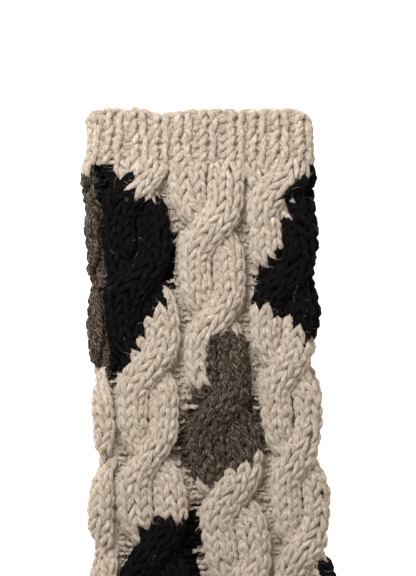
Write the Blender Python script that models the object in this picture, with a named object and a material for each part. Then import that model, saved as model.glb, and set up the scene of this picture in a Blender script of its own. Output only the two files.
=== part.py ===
"""A pair of cable-knitted wool arm warmers, laid flat side by side, as solids in metres.

Each warmer is one knitted tube: a ribbed cuff, a long body of seven rope cables and a second ribbed
cuff. It lies flat, so the tube's section is a low loop: a front panel on a back panel, folded at
both sides. The wall's outer points carry the cables and ribs, and its inside is plain.
The second warmer is the first one's mirror image. +Z is up and the tubes run along Y.
"""

import math

import bmesh
import bpy

# The laid tube. "Down" is the distance from the first cuff's edge towards the other end.
LENGTH = 0.360
CUFF_LENGTH = 0.0212
SEAM_GAP = 0.0003
PAIR_OFFSET = 0.0735
FOLD_RADIUS = 0.0054
BACK_PANEL = 0.0060
SLIT = 0.0010

# How far the slit's ends lie inside the plain line of the sides.
SIDE_WALLS = (
    {"down": 0.0212, "wall": 0.0045},
    {"down": 0.0500, "wall": 0.0060},
    {"down": 0.3100, "wall": 0.0060},
    {"down": 0.3388, "wall": 0.0045},
)

# One row for each section: how far down, the middle's shift sideways, the half width at the folds.
SECTIONS = (
    {"down": 0.0000, "shift": -0.0018, "half": 0.0434},
    {"down": 0.0035, "shift": -0.0018, "half": 0.0450},
    {"down": 0.0180, "shift": -0.0020, "half": 0.0453},
    {"down": 0.0330, "shift": -0.0030, "half": 0.0444},
    {"down": 0.0500, "shift": -0.0008, "half": 0.0450},
    {"down": 0.0850, "shift": 0.0000, "half": 0.0450},
    {"down": 0.1250, "shift": 0.0018, "half": 0.0448},
    {"down": 0.1600, "shift": 0.0024, "half": 0.0468},
    {"down": 0.1920, "shift": 0.0030, "half": 0.0480},
    {"down": 0.2400, "shift": 0.0034, "half": 0.0480},
    {"down": 0.3000, "shift": 0.0034, "half": 0.0470},
    {"down": 0.3420, "shift": 0.0034, "half": 0.0456},
    {"down": 0.3565, "shift": 0.0034, "half": 0.0450},
    {"down": 0.3600, "shift": 0.0034, "half": 0.0434},
)

# Each crossing after the first draws the tube in sideways.
WAIST = 0.0022

# How far the left and the right side stand out of their plain line, and how far in that reaches.
SIDES = (
    {"down": 0.0000, "left": 0.0020, "right": -0.0004},
    {"down": 0.0030, "left": 0.0022, "right": -0.0004},
    {"down": 0.0090, "left": 0.0012, "right": 0.0004},
    {"down": 0.0172, "left": 0.0012, "right": 0.0004},
    {"down": 0.0234, "left": 0.0025, "right": 0.0016},
    {"down": 0.0262, "left": 0.0016, "right": 0.0022},
    {"down": 0.0295, "left": 0.0004, "right": 0.0042},
    {"down": 0.0316, "left": 0.0008, "right": 0.0042},
    {"down": 0.0377, "left": 0.0022, "right": 0.0006},
    {"down": 0.0418, "left": -0.0004, "right": 0.0000},
    {"down": 0.0508, "left": 0.0006, "right": -0.0002},
    {"down": 0.0603, "left": 0.0000, "right": 0.0006},
    {"down": 0.0685, "left": 0.0029, "right": 0.0029},
    {"down": 0.0726, "left": 0.0033, "right": 0.0020},
    {"down": 0.0746, "left": 0.0029, "right": 0.0010},
    {"down": 0.0828, "left": 0.0002, "right": 0.0004},
    {"down": 0.0910, "left": 0.0004, "right": -0.0012},
    {"down": 0.0931, "left": 0.0004, "right": -0.0018},
    {"down": 0.1033, "left": 0.0012, "right": 0.0008},
    {"down": 0.1095, "left": 0.0020, "right": 0.0020},
    {"down": 0.1156, "left": 0.0016, "right": 0.0012},
    {"down": 0.1279, "left": 0.0004, "right": 0.0004},
    {"down": 0.1402, "left": -0.0012, "right": -0.0004},
    {"down": 0.1431, "left": -0.0030, "right": 0.0010},
    {"down": 0.1450, "left": -0.0022, "right": 0.0024},
    {"down": 0.1525, "left": 0.0012, "right": 0.0012},
    {"down": 0.1607, "left": 0.0012, "right": 0.0002},
    {"down": 0.1648, "left": 0.0020, "right": 0.0000},
    {"down": 0.1730, "left": 0.0008, "right": -0.0008},
    {"down": 0.1792, "left": -0.0029, "right": 0.0006},
    {"down": 0.1853, "left": -0.0012, "right": 0.0016},
    {"down": 0.1894, "left": 0.0008, "right": 0.0014},
    {"down": 0.2020, "left": 0.0014, "right": 0.0008},
    {"down": 0.2140, "left": -0.0022, "right": -0.0010},
    {"down": 0.2230, "left": 0.0008, "right": 0.0006},
    {"down": 0.2380, "left": 0.0014, "right": 0.0012},
    {"down": 0.2530, "left": -0.0024, "right": 0.0002},
    {"down": 0.2620, "left": 0.0006, "right": 0.0010},
    {"down": 0.2760, "left": 0.0016, "right": 0.0004},
    {"down": 0.2900, "left": -0.0022, "right": -0.0012},
    {"down": 0.3000, "left": 0.0010, "right": 0.0008},
    {"down": 0.3130, "left": 0.0016, "right": 0.0014},
    {"down": 0.3270, "left": -0.0018, "right": -0.0006},
    {"down": 0.3400, "left": 0.0010, "right": 0.0006},
    {"down": 0.3600, "left": 0.0006, "right": 0.0000},
)
SIDE_REACH = 0.0140

# Where the four cables that show lie, as arc lengths round the section from its top middle.
CABLE_PLACES = (
    {"down": 0.0000, "seam": -0.0525, "left": -0.0266, "middle": 0.0030, "right": 0.0300},
    {"down": 0.0250, "seam": -0.0530, "left": -0.0258, "middle": 0.0035, "right": 0.0307},
    {"down": 0.0332, "seam": -0.0530, "left": -0.0257, "middle": 0.0034, "right": 0.0310},
    {"down": 0.0500, "seam": -0.0528, "left": -0.0274, "middle": 0.0033, "right": 0.0328},
    {"down": 0.0640, "seam": -0.0525, "left": -0.0268, "middle": 0.0033, "right": 0.0325},
    {"down": 0.0880, "seam": -0.0522, "left": -0.0255, "middle": 0.0040, "right": 0.0319},
    {"down": 0.1040, "seam": -0.0512, "left": -0.0241, "middle": 0.0040, "right": 0.0312},
    {"down": 0.1220, "seam": -0.0495, "left": -0.0246, "middle": 0.0052, "right": 0.0340},
    {"down": 0.1420, "seam": -0.0494, "left": -0.0257, "middle": 0.0066, "right": 0.0346},
    {"down": 0.1590, "seam": -0.0495, "left": -0.0236, "middle": 0.0070, "right": 0.0374},
    {"down": 0.1790, "seam": -0.0497, "left": -0.0231, "middle": 0.0106, "right": 0.0379},
    {"down": 0.1920, "seam": -0.0498, "left": -0.0229, "middle": 0.0115, "right": 0.0385},
    {"down": 0.2600, "seam": -0.0500, "left": -0.0230, "middle": 0.0095, "right": 0.0375},
    {"down": 0.3600, "seam": -0.0505, "left": -0.0235, "middle": 0.0060, "right": 0.0350},
)
CABLES = ("seam", "left", "middle", "right")

# How wide each of those cables is, as a share of its usual width.
CABLE_SPREADS = (
    {"down": 0.0000, "seam": 0.78, "left": 1.00, "middle": 1.06, "right": 1.00},
    {"down": 0.0250, "seam": 0.74, "left": 1.00, "middle": 1.11, "right": 1.00},
    {"down": 0.0520, "seam": 0.72, "left": 1.00, "middle": 1.03, "right": 0.97},
    {"down": 0.0640, "seam": 0.72, "left": 1.02, "middle": 0.98, "right": 0.96},
    {"down": 0.0900, "seam": 0.73, "left": 1.07, "middle": 0.95, "right": 0.95},
    {"down": 0.1010, "seam": 0.75, "left": 1.00, "middle": 0.94, "right": 0.93},
    {"down": 0.1220, "seam": 0.79, "left": 0.88, "middle": 1.00, "right": 0.90},
    {"down": 0.1360, "seam": 0.79, "left": 0.91, "middle": 1.08, "right": 0.90},
    {"down": 0.1580, "seam": 0.80, "left": 1.00, "middle": 1.05, "right": 0.88},
    {"down": 0.1790, "seam": 0.84, "left": 1.00, "middle": 0.98, "right": 0.92},
    {"down": 0.2000, "seam": 0.88, "left": 1.00, "middle": 1.00, "right": 0.96},
    {"down": 0.3600, "seam": 0.90, "left": 1.00, "middle": 1.00, "right": 1.00},
)

# The cable behind the right fold lies this far on from the right one.
BEHIND_SPACING = 0.0272

# A rope cable: two strands that swap sides at each crossing.
CABLE_PERIOD = 0.0367
FIRST_CROSSING = {"seam": 0.0332, "left": 0.0332, "middle": 0.0496, "right": 0.0332}
LAST_CROSSING = {"seam": 8, "left": 8, "middle": 7, "right": 8}
STRAND_SWING = 0.0069
STRAND_HALF_WIDTH = 0.0075
STRAND_DEPTH = 0.0046
CROWN_BESIDE = 0.0042
CROWN_OVER = 0.0061
CROWN_UNDER = 0.0018
CROSSING_SHARE = 0.35
LIFT_SHARE = 0.40
CABLE_FADE = 0.0100
LEAST_BESIDE_CUFF = 0.35

# Where the relief starts to fade round a fold, and over how much of it, as shares of the fold.
RELIEF_FADE_START = 0.45
RELIEF_FADE = 0.45

# The knit-one purl-one rib of the cuffs.
RIB_REPEAT = 0.00963
RIB_FIRST = -0.0347
RIB_HEIGHT = 0.0017
RIB_HALF_CREST = 0.0021
RIB_SLOPE = 0.0015
RIM_ROUNDING = 0.0040
RIM_LEAST = 0.4
RIB_NUMBERS = range(-2, 10)
LEAST_RIB_CORNER = 0.5 * RIB_SLOPE

# The cuff's edge isn't straight: it dips a little left of its middle and at both folds.
RIM_DIP = 0.0018
RIM_DIP_PLACE = -0.0165
RIM_DIP_WIDTH = 0.0070
RIM_FOLD_DIP = 0.0022

# How many pieces the surfaces are cut into.
STEPS_TO_SEAM_CABLE = 2
STEPS_BETWEEN_CABLES = 8
STEPS_PAST_RIGHT_CABLE = 6
STEPS_UNDERSIDE = 9
ROWS_PER_PERIOD = 10
OUTER_ROWS_PER_INNER = 8

# The first cuff's sections, closer together where its free edge rounds off.
CUFF_DOWNS = (0.0, 0.0012, 0.0030, 0.0110, CUFF_LENGTH - SEAM_GAP / 2)

# Distances below this one count as none.
NEARLY_NOTHING = 1e-9

COLOURS = {
    "cuff": (0.55, 0.46, 0.36),
    "body": (0.50, 0.42, 0.33),
}
WOOL_ROUGHNESS = 0.95


def between(table, column, down):
    """The table's value in that column at that distance down, in a straight line between rows."""
    for upper, lower in zip(table, table[1:]):
        if down <= lower["down"]:
            break
    share = (down - upper["down"]) / (lower["down"] - upper["down"])
    share = min(max(share, 0.0), 1.0)
    return upper[column] + (lower[column] - upper[column]) * share


def fold_half(down):
    """Half the tube's width at the folds, narrower where the side cables cross."""
    turns = (down - FIRST_CROSSING["seam"]) / CABLE_PERIOD
    nearest = min(max(round(turns), 1), LAST_CROSSING["seam"])
    phase = min(abs(turns - nearest), 0.5)
    return between(SECTIONS, "half", down) - WAIST * math.cos(math.pi * phase) ** 2


def flat_half(down):
    """Half the width of a section's flat top: its half width without the fold."""
    return fold_half(down) - FOLD_RADIUS


def fold_end(down):
    """The arc length from the top middle to where the fold meets the underside."""
    return flat_half(down) + math.pi * FOLD_RADIUS


def side_middle(down):
    """The arc length from the top middle to the middle of the fold, a quarter of the way round."""
    return flat_half(down) + 0.5 * math.pi * FOLD_RADIUS


def side_shift(down, around):
    """How far sideways a point is moved where a side stands out or is drawn in."""
    outward = -between(SIDES, "left", down) if around < 0 else between(SIDES, "right", down)
    away = abs(abs(around) - side_middle(down)) - 0.5 * math.pi * FOLD_RADIUS
    share = 1.0 - min(max(away / SIDE_REACH, 0.0), 1.0)
    return outward * share ** 2 * (3 - 2 * share)


def wall_point(down, arc, lift):
    """The (x, z) of a point on the wall's outside, raised by lift, at an arc length from the top middle."""
    flat = flat_half(down)
    side = math.copysign(1.0, arc)
    past = abs(arc) - flat
    if past <= 0:
        x, z = arc, 2 * FOLD_RADIUS + lift
    elif past < math.pi * FOLD_RADIUS:
        turn = past / FOLD_RADIUS
        reach = FOLD_RADIUS + lift
        x = side * (flat + reach * math.sin(turn))
        z = FOLD_RADIUS + reach * math.cos(turn)
    else:
        x, z = side * (flat - (past - math.pi * FOLD_RADIUS)), 0.0
    return x + between(SECTIONS, "shift", down), max(z, 0.0)


def relief_share(down, arc):
    """1 on the front, fading to 0 where a fold rolls under, because the underside rests flat."""
    turn = (abs(arc) - flat_half(down)) / (math.pi * FOLD_RADIUS)
    share = min(max((turn - RELIEF_FADE_START) / RELIEF_FADE, 0.0), 1.0)
    return 0.5 + 0.5 * math.cos(math.pi * share)


def strand_place(cable, strand, down):
    """A strand's sideways place in its cable, its crown height and its slope at a distance down."""
    turns = (down - FIRST_CROSSING[cable]) / CABLE_PERIOD
    crossing = min(max(round(turns), 0), LAST_CROSSING[cable])
    phase = turns - crossing
    order = -1.0 if (crossing + strand) % 2 else 1.0
    reach = -order * STRAND_SWING * between(CABLE_SPREADS, cable, down)
    swing = min(max(phase / CROSSING_SHARE, -1.0), 1.0)
    across = reach * math.sin(0.5 * math.pi * swing)
    slope = 0.0
    if abs(swing) < 1.0:
        speed = 0.5 * math.pi / (CROSSING_SHARE * CABLE_PERIOD)
        slope = reach * speed * math.cos(0.5 * math.pi * swing)
    lift = math.cos(0.5 * math.pi * min(abs(phase) / LIFT_SHARE, 1.0)) ** 2
    top = CROWN_OVER if order > 0 else CROWN_UNDER
    return across, CROWN_BESIDE + (top - CROWN_BESIDE) * lift, slope


def cable_lift(cable, across, down):
    """How far a cable stands out of the wall at a sideways distance from its middle."""
    lift = 0.0
    half = STRAND_HALF_WIDTH * between(CABLE_SPREADS, cable, down)
    for strand in (0, 1):
        place, crown, slope = strand_place(cable, strand, down)
        distance = (across - place) / math.hypot(1.0, slope)
        rise = 1.0 - (distance / half) ** 2
        if rise > 0:
            lift = max(lift, crown - STRAND_DEPTH * (1.0 - math.sqrt(rise)))
    return lift


def body_lift(down, arc):
    """The height of the cables at a point of the body, eased in from the cuffs."""
    lift = 0.0
    for cable in CABLES:
        across = arc - between(CABLE_PLACES, cable, down)
        lift = max(lift, cable_lift(cable, across, down))
    behind = between(CABLE_PLACES, "right", down) + BEHIND_SPACING
    lift = max(lift, cable_lift("right", arc - behind, down))
    from_cuff = min(down - CUFF_LENGTH, LENGTH - CUFF_LENGTH - down)
    ease = LEAST_BESIDE_CUFF + (1.0 - LEAST_BESIDE_CUFF) * min(max(from_cuff / CABLE_FADE, 0.0), 1.0)
    return lift * ease * relief_share(down, arc)


def rib_lift(down, arc):
    """The height of the ribs at a point of a cuff, rounded off at its free edge."""
    nearest = round((arc - RIB_FIRST) / RIB_REPEAT)
    distance = abs(arc - RIB_FIRST - nearest * RIB_REPEAT)
    share = min(max(1.0 - (distance - RIB_HALF_CREST) / RIB_SLOPE, 0.0), 1.0)
    from_rim = min(down, LENGTH - down)
    rounding = min(RIM_LEAST + from_rim / RIM_ROUNDING, 1.0)
    return RIB_HEIGHT * share * rounding * relief_share(down, arc)


def rim_shift(down, arc):
    """How far the cuff's free edge lies in from the tube's end, fading out over the cuff."""
    dip = RIM_DIP * math.exp(-(((arc - RIM_DIP_PLACE) / RIM_DIP_WIDTH) ** 2))
    turn = (abs(arc) - flat_half(down)) / (0.5 * math.pi * FOLD_RADIUS)
    dip += RIM_FOLD_DIP * min(max(turn, 0.0), 1.0)
    from_rim = min(down, LENGTH - down)
    fade = max(1.0 - from_rim / (CUFF_LENGTH - SEAM_GAP), 0.0)
    return math.copysign(dip * fade, LENGTH / 2 - down)


def spread(start, end, steps):
    """The start and the points between it and the end, evenly spaced, without the end."""
    return [start + (end - start) * step / steps for step in range(steps)]


def underside_arcs(down):
    """Arc lengths along the flat underside, from the right fold back to the left one."""
    end = fold_end(down)
    return spread(end, end + 2 * flat_half(down), STEPS_UNDERSIDE)


def body_arcs(down):
    """Arc lengths of a body section's points, whose columns follow the cables."""
    seam, left, middle, right = (between(CABLE_PLACES, cable, down) for cable in CABLES)
    end = fold_end(down)
    return (
        spread(-end, seam, STEPS_TO_SEAM_CABLE)
        + spread(seam, left, STEPS_BETWEEN_CABLES)
        + spread(left, middle, STEPS_BETWEEN_CABLES)
        + spread(middle, right, STEPS_BETWEEN_CABLES)
        + spread(right, end, STEPS_PAST_RIGHT_CABLE)
        + underside_arcs(down)
    )


# The shortest way round from the top middle to the underside, so that every ring has the same ribs.
CUFF_REACH = min(fold_end(row["down"]) for row in SECTIONS)


def cuff_arcs(down):
    """Arc lengths of a cuff section's points: the four corners of each rib, then the underside."""
    end = fold_end(down)
    corners = (
        -RIB_HALF_CREST - RIB_SLOPE,
        -RIB_HALF_CREST,
        RIB_HALF_CREST,
        RIB_HALF_CREST + RIB_SLOPE,
    )
    arcs = [RIB_FIRST + rib * RIB_REPEAT + corner for rib in RIB_NUMBERS for corner in corners]
    reach = CUFF_REACH - LEAST_RIB_CORNER
    shown = [arc for arc in arcs if abs(arc) < reach]
    return [-end, *shown, *underside_arcs(down)]


def outer_ring(down, arcs, lift_of):
    """The (x, y, z) points of a section's outside, with y measured down from the first edge."""
    points = []
    for arc in arcs:
        past_end = abs(arc) >= fold_end(down) - NEARLY_NOTHING
        lift = 0.0 if past_end else lift_of(down, arc)
        around = arc if arc <= 2 * side_middle(down) else arc - 4 * side_middle(down)
        x, z = wall_point(down, around, lift)
        points.append((x + side_shift(down, around), down + rim_shift(down, around), z))
    return points


def inner_ring(down, arcs):
    """The points of a section's plain inside, a low slit, one for each point of its outside."""
    quarter = side_middle(down)
    wall = between(SIDE_WALLS, "wall", down)
    plain = flat_half(down) - 2 * wall
    squeeze = (fold_half(down) - wall - plain) / (quarter - plain)
    points = []
    for arc in arcs:
        around = arc if arc <= quarter else arc - 4 * quarter
        front = 1 if abs(around) < quarter else -1
        across = around if front > 0 else -2 * quarter - around
        opening = 0.5 + front * (quarter - abs(across)) / FOLD_RADIUS
        reach = min(abs(across), plain + (abs(across) - plain) * squeeze)
        x = between(SECTIONS, "shift", down) + side_shift(down, across) + math.copysign(reach, across)
        z = BACK_PANEL + SLIT * min(max(opening, 0.0), 1.0)
        points.append((x, down + rim_shift(down, around), z))
    return points


def join_rings(mesh, first, second, facing):
    """Triangles between two loops with as many points, cut along the way the upper strands lean."""
    for i in range(len(first)):
        j = (i + 1) % len(first)
        for corners in ((first[i], first[j], second[i]), (first[j], second[j], second[i])):
            mesh.faces.new(corners if facing else reversed(corners))


def tube_mesh(name, downs, arcs_of, lift_of, side):
    """A closed tube wall through its sections, moved to its place in the pair; side -1 mirrors it."""
    inner_downs = [*downs[:-1:OUTER_ROWS_PER_INNER], downs[-1]]
    rings = [outer_ring(down, arcs_of(down), lift_of) for down in downs]
    rings += [inner_ring(down, arcs_of(down)) for down in reversed(inner_downs)]
    mesh = bmesh.new()
    loops = [[mesh.verts.new(point) for point in ring] for ring in rings]
    for loop, following in zip(loops, loops[1:] + loops[:1]):
        join_rings(mesh, loop, following, side < 0)
    for corner in mesh.verts:
        x, down, z = corner.co
        corner.co = (side * (x - PAIR_OFFSET), LENGTH / 2 - down, z)
    data = bpy.data.meshes.new(name)
    mesh.to_mesh(data)
    mesh.free()
    data.shade_smooth()
    return data


def wool(slot):
    """The plain wool finish of a cuff or a body."""
    material = bpy.data.materials.new(f"{slot}_wool")
    material.use_nodes = True
    surface = material.node_tree.nodes["Principled BSDF"]
    surface.inputs["Base Color"].default_value = (*COLOURS[slot], 1.0)
    surface.inputs["Roughness"].default_value = WOOL_ROUGHNESS
    surface.inputs["Metallic"].default_value = 0.0
    return material


def body_downs():
    """The body's sections, an even number of them to each period of the cables."""
    start = CUFF_LENGTH + SEAM_GAP / 2
    end = LENGTH - start
    rows = round((end - start) / (CABLE_PERIOD / ROWS_PER_PERIOD))
    return [*spread(start, end, rows), end]


def build_warmer(name, side, collection, finishes):
    """The three nodes of one warmer: its first cuff, its cabled body and its second cuff."""
    second = [LENGTH - down for down in reversed(CUFF_DOWNS)]
    pieces = (
        ("top_cuff", CUFF_DOWNS, cuff_arcs, rib_lift, "cuff"),
        ("cable_body", body_downs(), body_arcs, body_lift, "body"),
        ("bottom_cuff", second, cuff_arcs, rib_lift, "cuff"),
    )
    for piece, downs, arcs_of, lift_of, finish in pieces:
        data = tube_mesh(f"{name}_{piece}", downs, arcs_of, lift_of, side)
        data.materials.append(finishes[finish])
        collection.objects.link(bpy.data.objects.new(f"{name}_{piece}", data))


def main():
    """Clears the scene and builds the pair."""
    for obj in list(bpy.data.objects):
        bpy.data.objects.remove(obj)
    collection = bpy.data.collections.new("arm_warmers")
    bpy.context.scene.collection.children.link(collection)
    finishes = {slot: wool(slot) for slot in COLOURS}
    build_warmer("left", 1, collection, finishes)
    build_warmer("right", -1, collection, finishes)


main()
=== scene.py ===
"""The looks of a pair of cable-knitted wool arm warmers: their yarn, its fibres and the studio.

Every stitch is a loop of yarn. The loops lie on the same laid tube and the same rope cables as the
frame's solids, in metres, and Geometry Nodes sweep the yarn along them and set the loose fibres.
"""

from __future__ import annotations

import logging
import math
from collections.abc import Sequence
from dataclasses import asdict, dataclass, field, replace
from enum import Enum

import bpy
import numpy as np

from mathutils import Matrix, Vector

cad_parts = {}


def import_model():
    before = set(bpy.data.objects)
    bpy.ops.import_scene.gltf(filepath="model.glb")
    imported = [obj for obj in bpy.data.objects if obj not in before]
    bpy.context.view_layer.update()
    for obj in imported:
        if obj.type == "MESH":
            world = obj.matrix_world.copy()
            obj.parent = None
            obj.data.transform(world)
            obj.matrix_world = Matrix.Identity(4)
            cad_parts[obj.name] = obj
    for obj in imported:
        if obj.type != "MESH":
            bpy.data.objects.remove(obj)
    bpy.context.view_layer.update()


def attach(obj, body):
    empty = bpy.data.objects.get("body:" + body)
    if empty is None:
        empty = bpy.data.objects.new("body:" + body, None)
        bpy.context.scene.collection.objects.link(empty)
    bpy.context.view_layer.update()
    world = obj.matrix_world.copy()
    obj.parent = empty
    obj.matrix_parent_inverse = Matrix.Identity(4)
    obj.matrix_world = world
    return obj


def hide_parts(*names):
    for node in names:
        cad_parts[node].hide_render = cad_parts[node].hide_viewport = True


LOG = logging.getLogger("arm_warmers")
MM = 0.001

Array = np.ndarray
Socket = bpy.types.NodeSocket
Value = float | Socket
Outline = tuple[tuple[float, float], ...]
Colour = tuple[float, float, float]


def read_off(table: tuple, column: int, down: Array) -> Array:
    """A column of a table between its rows, whose first column is how far down, in millimetres.

    Args:
        table: the rows.
        column: which column is read.
        down: distances down, in metres.

    Returns:
        The column's value at each distance, in the table's own terms.
    """
    rows = np.array(table)
    return np.interp(down / MM, rows[:, 0], rows[:, column])


class Wool(Enum):
    """The three wools, by the record's slot for each."""

    NATURAL = "natural_wool"
    BROWN = "brown_wool"
    BLACK = "black_wool"


class Side(Enum):
    """Which warmer of the pair, with the sign that mirrors its shape."""

    LEFT = 1
    RIGHT = -1


@dataclass
class LaidTube:
    """A knitted tube lying flat: a front panel on a back panel, folded at both sides.

    A point on it is an arc length round the section from its top middle, a distance down from the
    top cuff's edge, and a lift out of the wall.
    """

    length: float = 0.360
    middle: float = -0.0735
    fold_radius: float = 0.0054
    cuff: float = 0.0212
    seam_gap: float = 0.0003
    waist: float = 0.0022
    period: float = 0.0367
    first_crossing: float = 0.0332
    crossings: int = 8
    rim_dip: float = 0.0018
    rim_dip_place: float = -0.0165
    rim_dip_width: float = 0.0070
    rim_fold_dip: float = 0.0022
    press: float = 0.30
    roll_start: float = 0.45
    roll_length: float = 0.45
    # Each section in millimetres: how far down, the middle's shift sideways, the half width.
    sections: tuple[tuple[float, float, float], ...] = (
        (0, -1.8, 43.4), (3.5, -1.8, 45), (18, -2, 45.3), (33, -3, 44.4), (50, -0.8, 45), (85, 0, 45),
        (125, 1.8, 44.8), (160, 2.4, 46.8), (192, 3, 48), (240, 3.4, 48), (300, 3.4, 47),
        (342, 3.4, 45.6), (356.5, 3.4, 45), (360, 3.4, 43.4),
    )

    # In millimetres: how far down, then how far the left and the right side stand out there.
    sides: tuple[tuple[float, float, float], ...] = (
        (0, 1.2, -0.8), (3, 1.3, -0.8), (9, 0.2, 0.1), (17.2, 0.3, 0), (23.4, 1.6, 1.4),
        (26.2, 1.6, 2.2), (29.5, 0.4, 4.2), (31.6, 0.8, 4.2), (37.7, 2.2, 0.6), (41.8, -0.4, 0),
        (50.8, 0.6, -0.2), (60.3, 0, 0.6), (68.5, 2.9, 2.9), (72.6, 3.3, 2), (74.6, 2.9, 1),
        (82.8, 0.2, 0.4), (91, 0.4, -1.2), (93.1, 0.4, -1.8), (103.3, 1.2, 0.8), (109.5, 2, 2),
        (115.6, 0.9, 1), (127.9, 0.4, 0.4), (140.2, -1.2, -0.4), (143.1, -3, 1), (145, -2.2, 2.4),
        (152.5, 1.2, 1.2), (160.7, 1.2, 0.2), (164.8, 2, 0), (173, 0.8, -0.8), (179.2, -2.9, 0.6),
        (185.3, -1.2, 1.6), (189.4, 0.8, 1.4), (202, 1.4, 0.8), (214, -2.2, -1), (223, 0.8, 0.6),
        (238, 1.4, 1.2), (253, -2.4, 0.2), (262, 0.6, 1), (276, 1.6, 0.4), (290, -2.2, -1.2),
        (300, 1, 0.8), (313, 1.6, 1.4), (327, -1.8, -0.6), (340, 1, 0.6), (360, 0.6, 0),
    )
    side_reach: float = 0.0140

    def flat(self, down: Array) -> Array:
        """Half the width of the flat top, narrower where the side cables cross.

        Args:
            down: distances from the top cuff's edge.

        Returns:
            Half of the flat top's width at each distance.
        """
        turns = (down - self.first_crossing) / self.period
        nearest = np.clip(np.round(turns), 1, self.crossings)
        phase = np.minimum(np.abs(turns - nearest), 0.5)
        drawn = self.waist * np.cos(np.pi * phase) ** 2
        return MM * read_off(self.sections, 2, down) - drawn - self.fold_radius

    def girth(self, down: Array) -> Array:
        """The whole way round a section's outside."""
        return 4 * self.flat(down) + 2 * math.pi * self.fold_radius

    def share_above(self, arc: Array, down: Array) -> Array:
        """1 on the front, fading to 0 where a fold rolls under."""
        turn = (np.abs(self.wrapped(arc, down)) - self.flat(down)) / (math.pi * self.fold_radius)
        return 0.5 + 0.5 * np.cos(np.pi * np.clip((turn - self.roll_start) / self.roll_length, 0, 1))

    def pressed(self, lift: Array, top: float, above: Array) -> Array:
        """A lift as it is on the front, and flattened against the floor underneath.

        Args:
            lift: heights out of the wall.
            top: the greatest height, which comes down to the floor underneath.
            above: 1 on the front and 0 underneath.

        Returns:
            The heights, pressed flat where they are underneath.
        """
        return above * lift + (1 - above) * self.press * (lift - top)

    def wrapped(self, arc: Array, down: Array) -> Array:
        """An arc length brought to within half the girth of the top middle."""
        girth = self.girth(down)
        return (arc + girth / 2) % girth - girth / 2

    def rim_shift(self, arc: Array, down: Array) -> Array:
        """How far a cuff's edge lies in from the tube's end, fading out over the cuff.

        Args:
            arc: arc lengths round the section.
            down: distances from the top cuff's edge.

        Returns:
            The shift of each point, towards the tube's middle.
        """
        dip = self.rim_dip * np.exp(-(((arc - self.rim_dip_place) / self.rim_dip_width) ** 2))
        turn = (np.abs(arc) - self.flat(down)) / (0.5 * math.pi * self.fold_radius)
        dip = dip + self.rim_fold_dip * np.clip(turn, 0, 1)
        from_rim = np.minimum(down, self.length - down)
        return dip * np.clip(1 - from_rim / self.cuff, 0, 1) * np.sign(self.length / 2 - down)

    def side_shift(self, arc: Array, down: Array) -> Array:
        """How far sideways a point is moved where a side stands out or is drawn in.

        Args:
            arc: arc lengths round the section.
            down: distances from the top cuff's edge.

        Returns:
            The shift of each point along X.
        """
        left, right = (MM * read_off(self.sides, side, down) for side in (1, 2))
        outward = np.where(arc < 0, -left, right)
        quarter = 0.5 * math.pi * self.fold_radius
        away = np.abs(np.abs(arc) - self.flat(down) - quarter) - quarter
        share = 1 - np.clip(away / self.side_reach, 0, 1)
        return outward * share**2 * (3 - 2 * share)

    def place(self, arc: Array, down: Array, lift: Array) -> tuple[Array, Array]:
        """Points on the tube and the way out of the cloth there.

        Args:
            arc: arc lengths round the section.
            down: distances from the top cuff's edge.
            lift: heights out of the wall's plain outside.

        Returns:
            The points and the unit normals, each as an array with a last axis of three.
        """
        arc = self.wrapped(arc, down)
        radius = self.fold_radius
        flat = self.flat(down)
        side = np.sign(arc)
        past = np.abs(arc) - flat
        turn = np.clip(past / radius, 0, math.pi)
        reach = radius + lift
        under = np.maximum(past - math.pi * radius, 0)
        x = np.where(past <= 0, arc, side * (flat + reach * np.sin(turn) - under))
        z = radius + reach * np.cos(turn)
        x = x + MM * read_off(self.sections, 1, down) + self.middle + self.side_shift(arc, down)
        y = self.length / 2 - down - self.rim_shift(arc, down)
        out = np.stack([side * np.sin(turn), np.zeros_like(turn), np.cos(turn)], -1)
        return np.stack([x, y, z], -1), out


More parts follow.
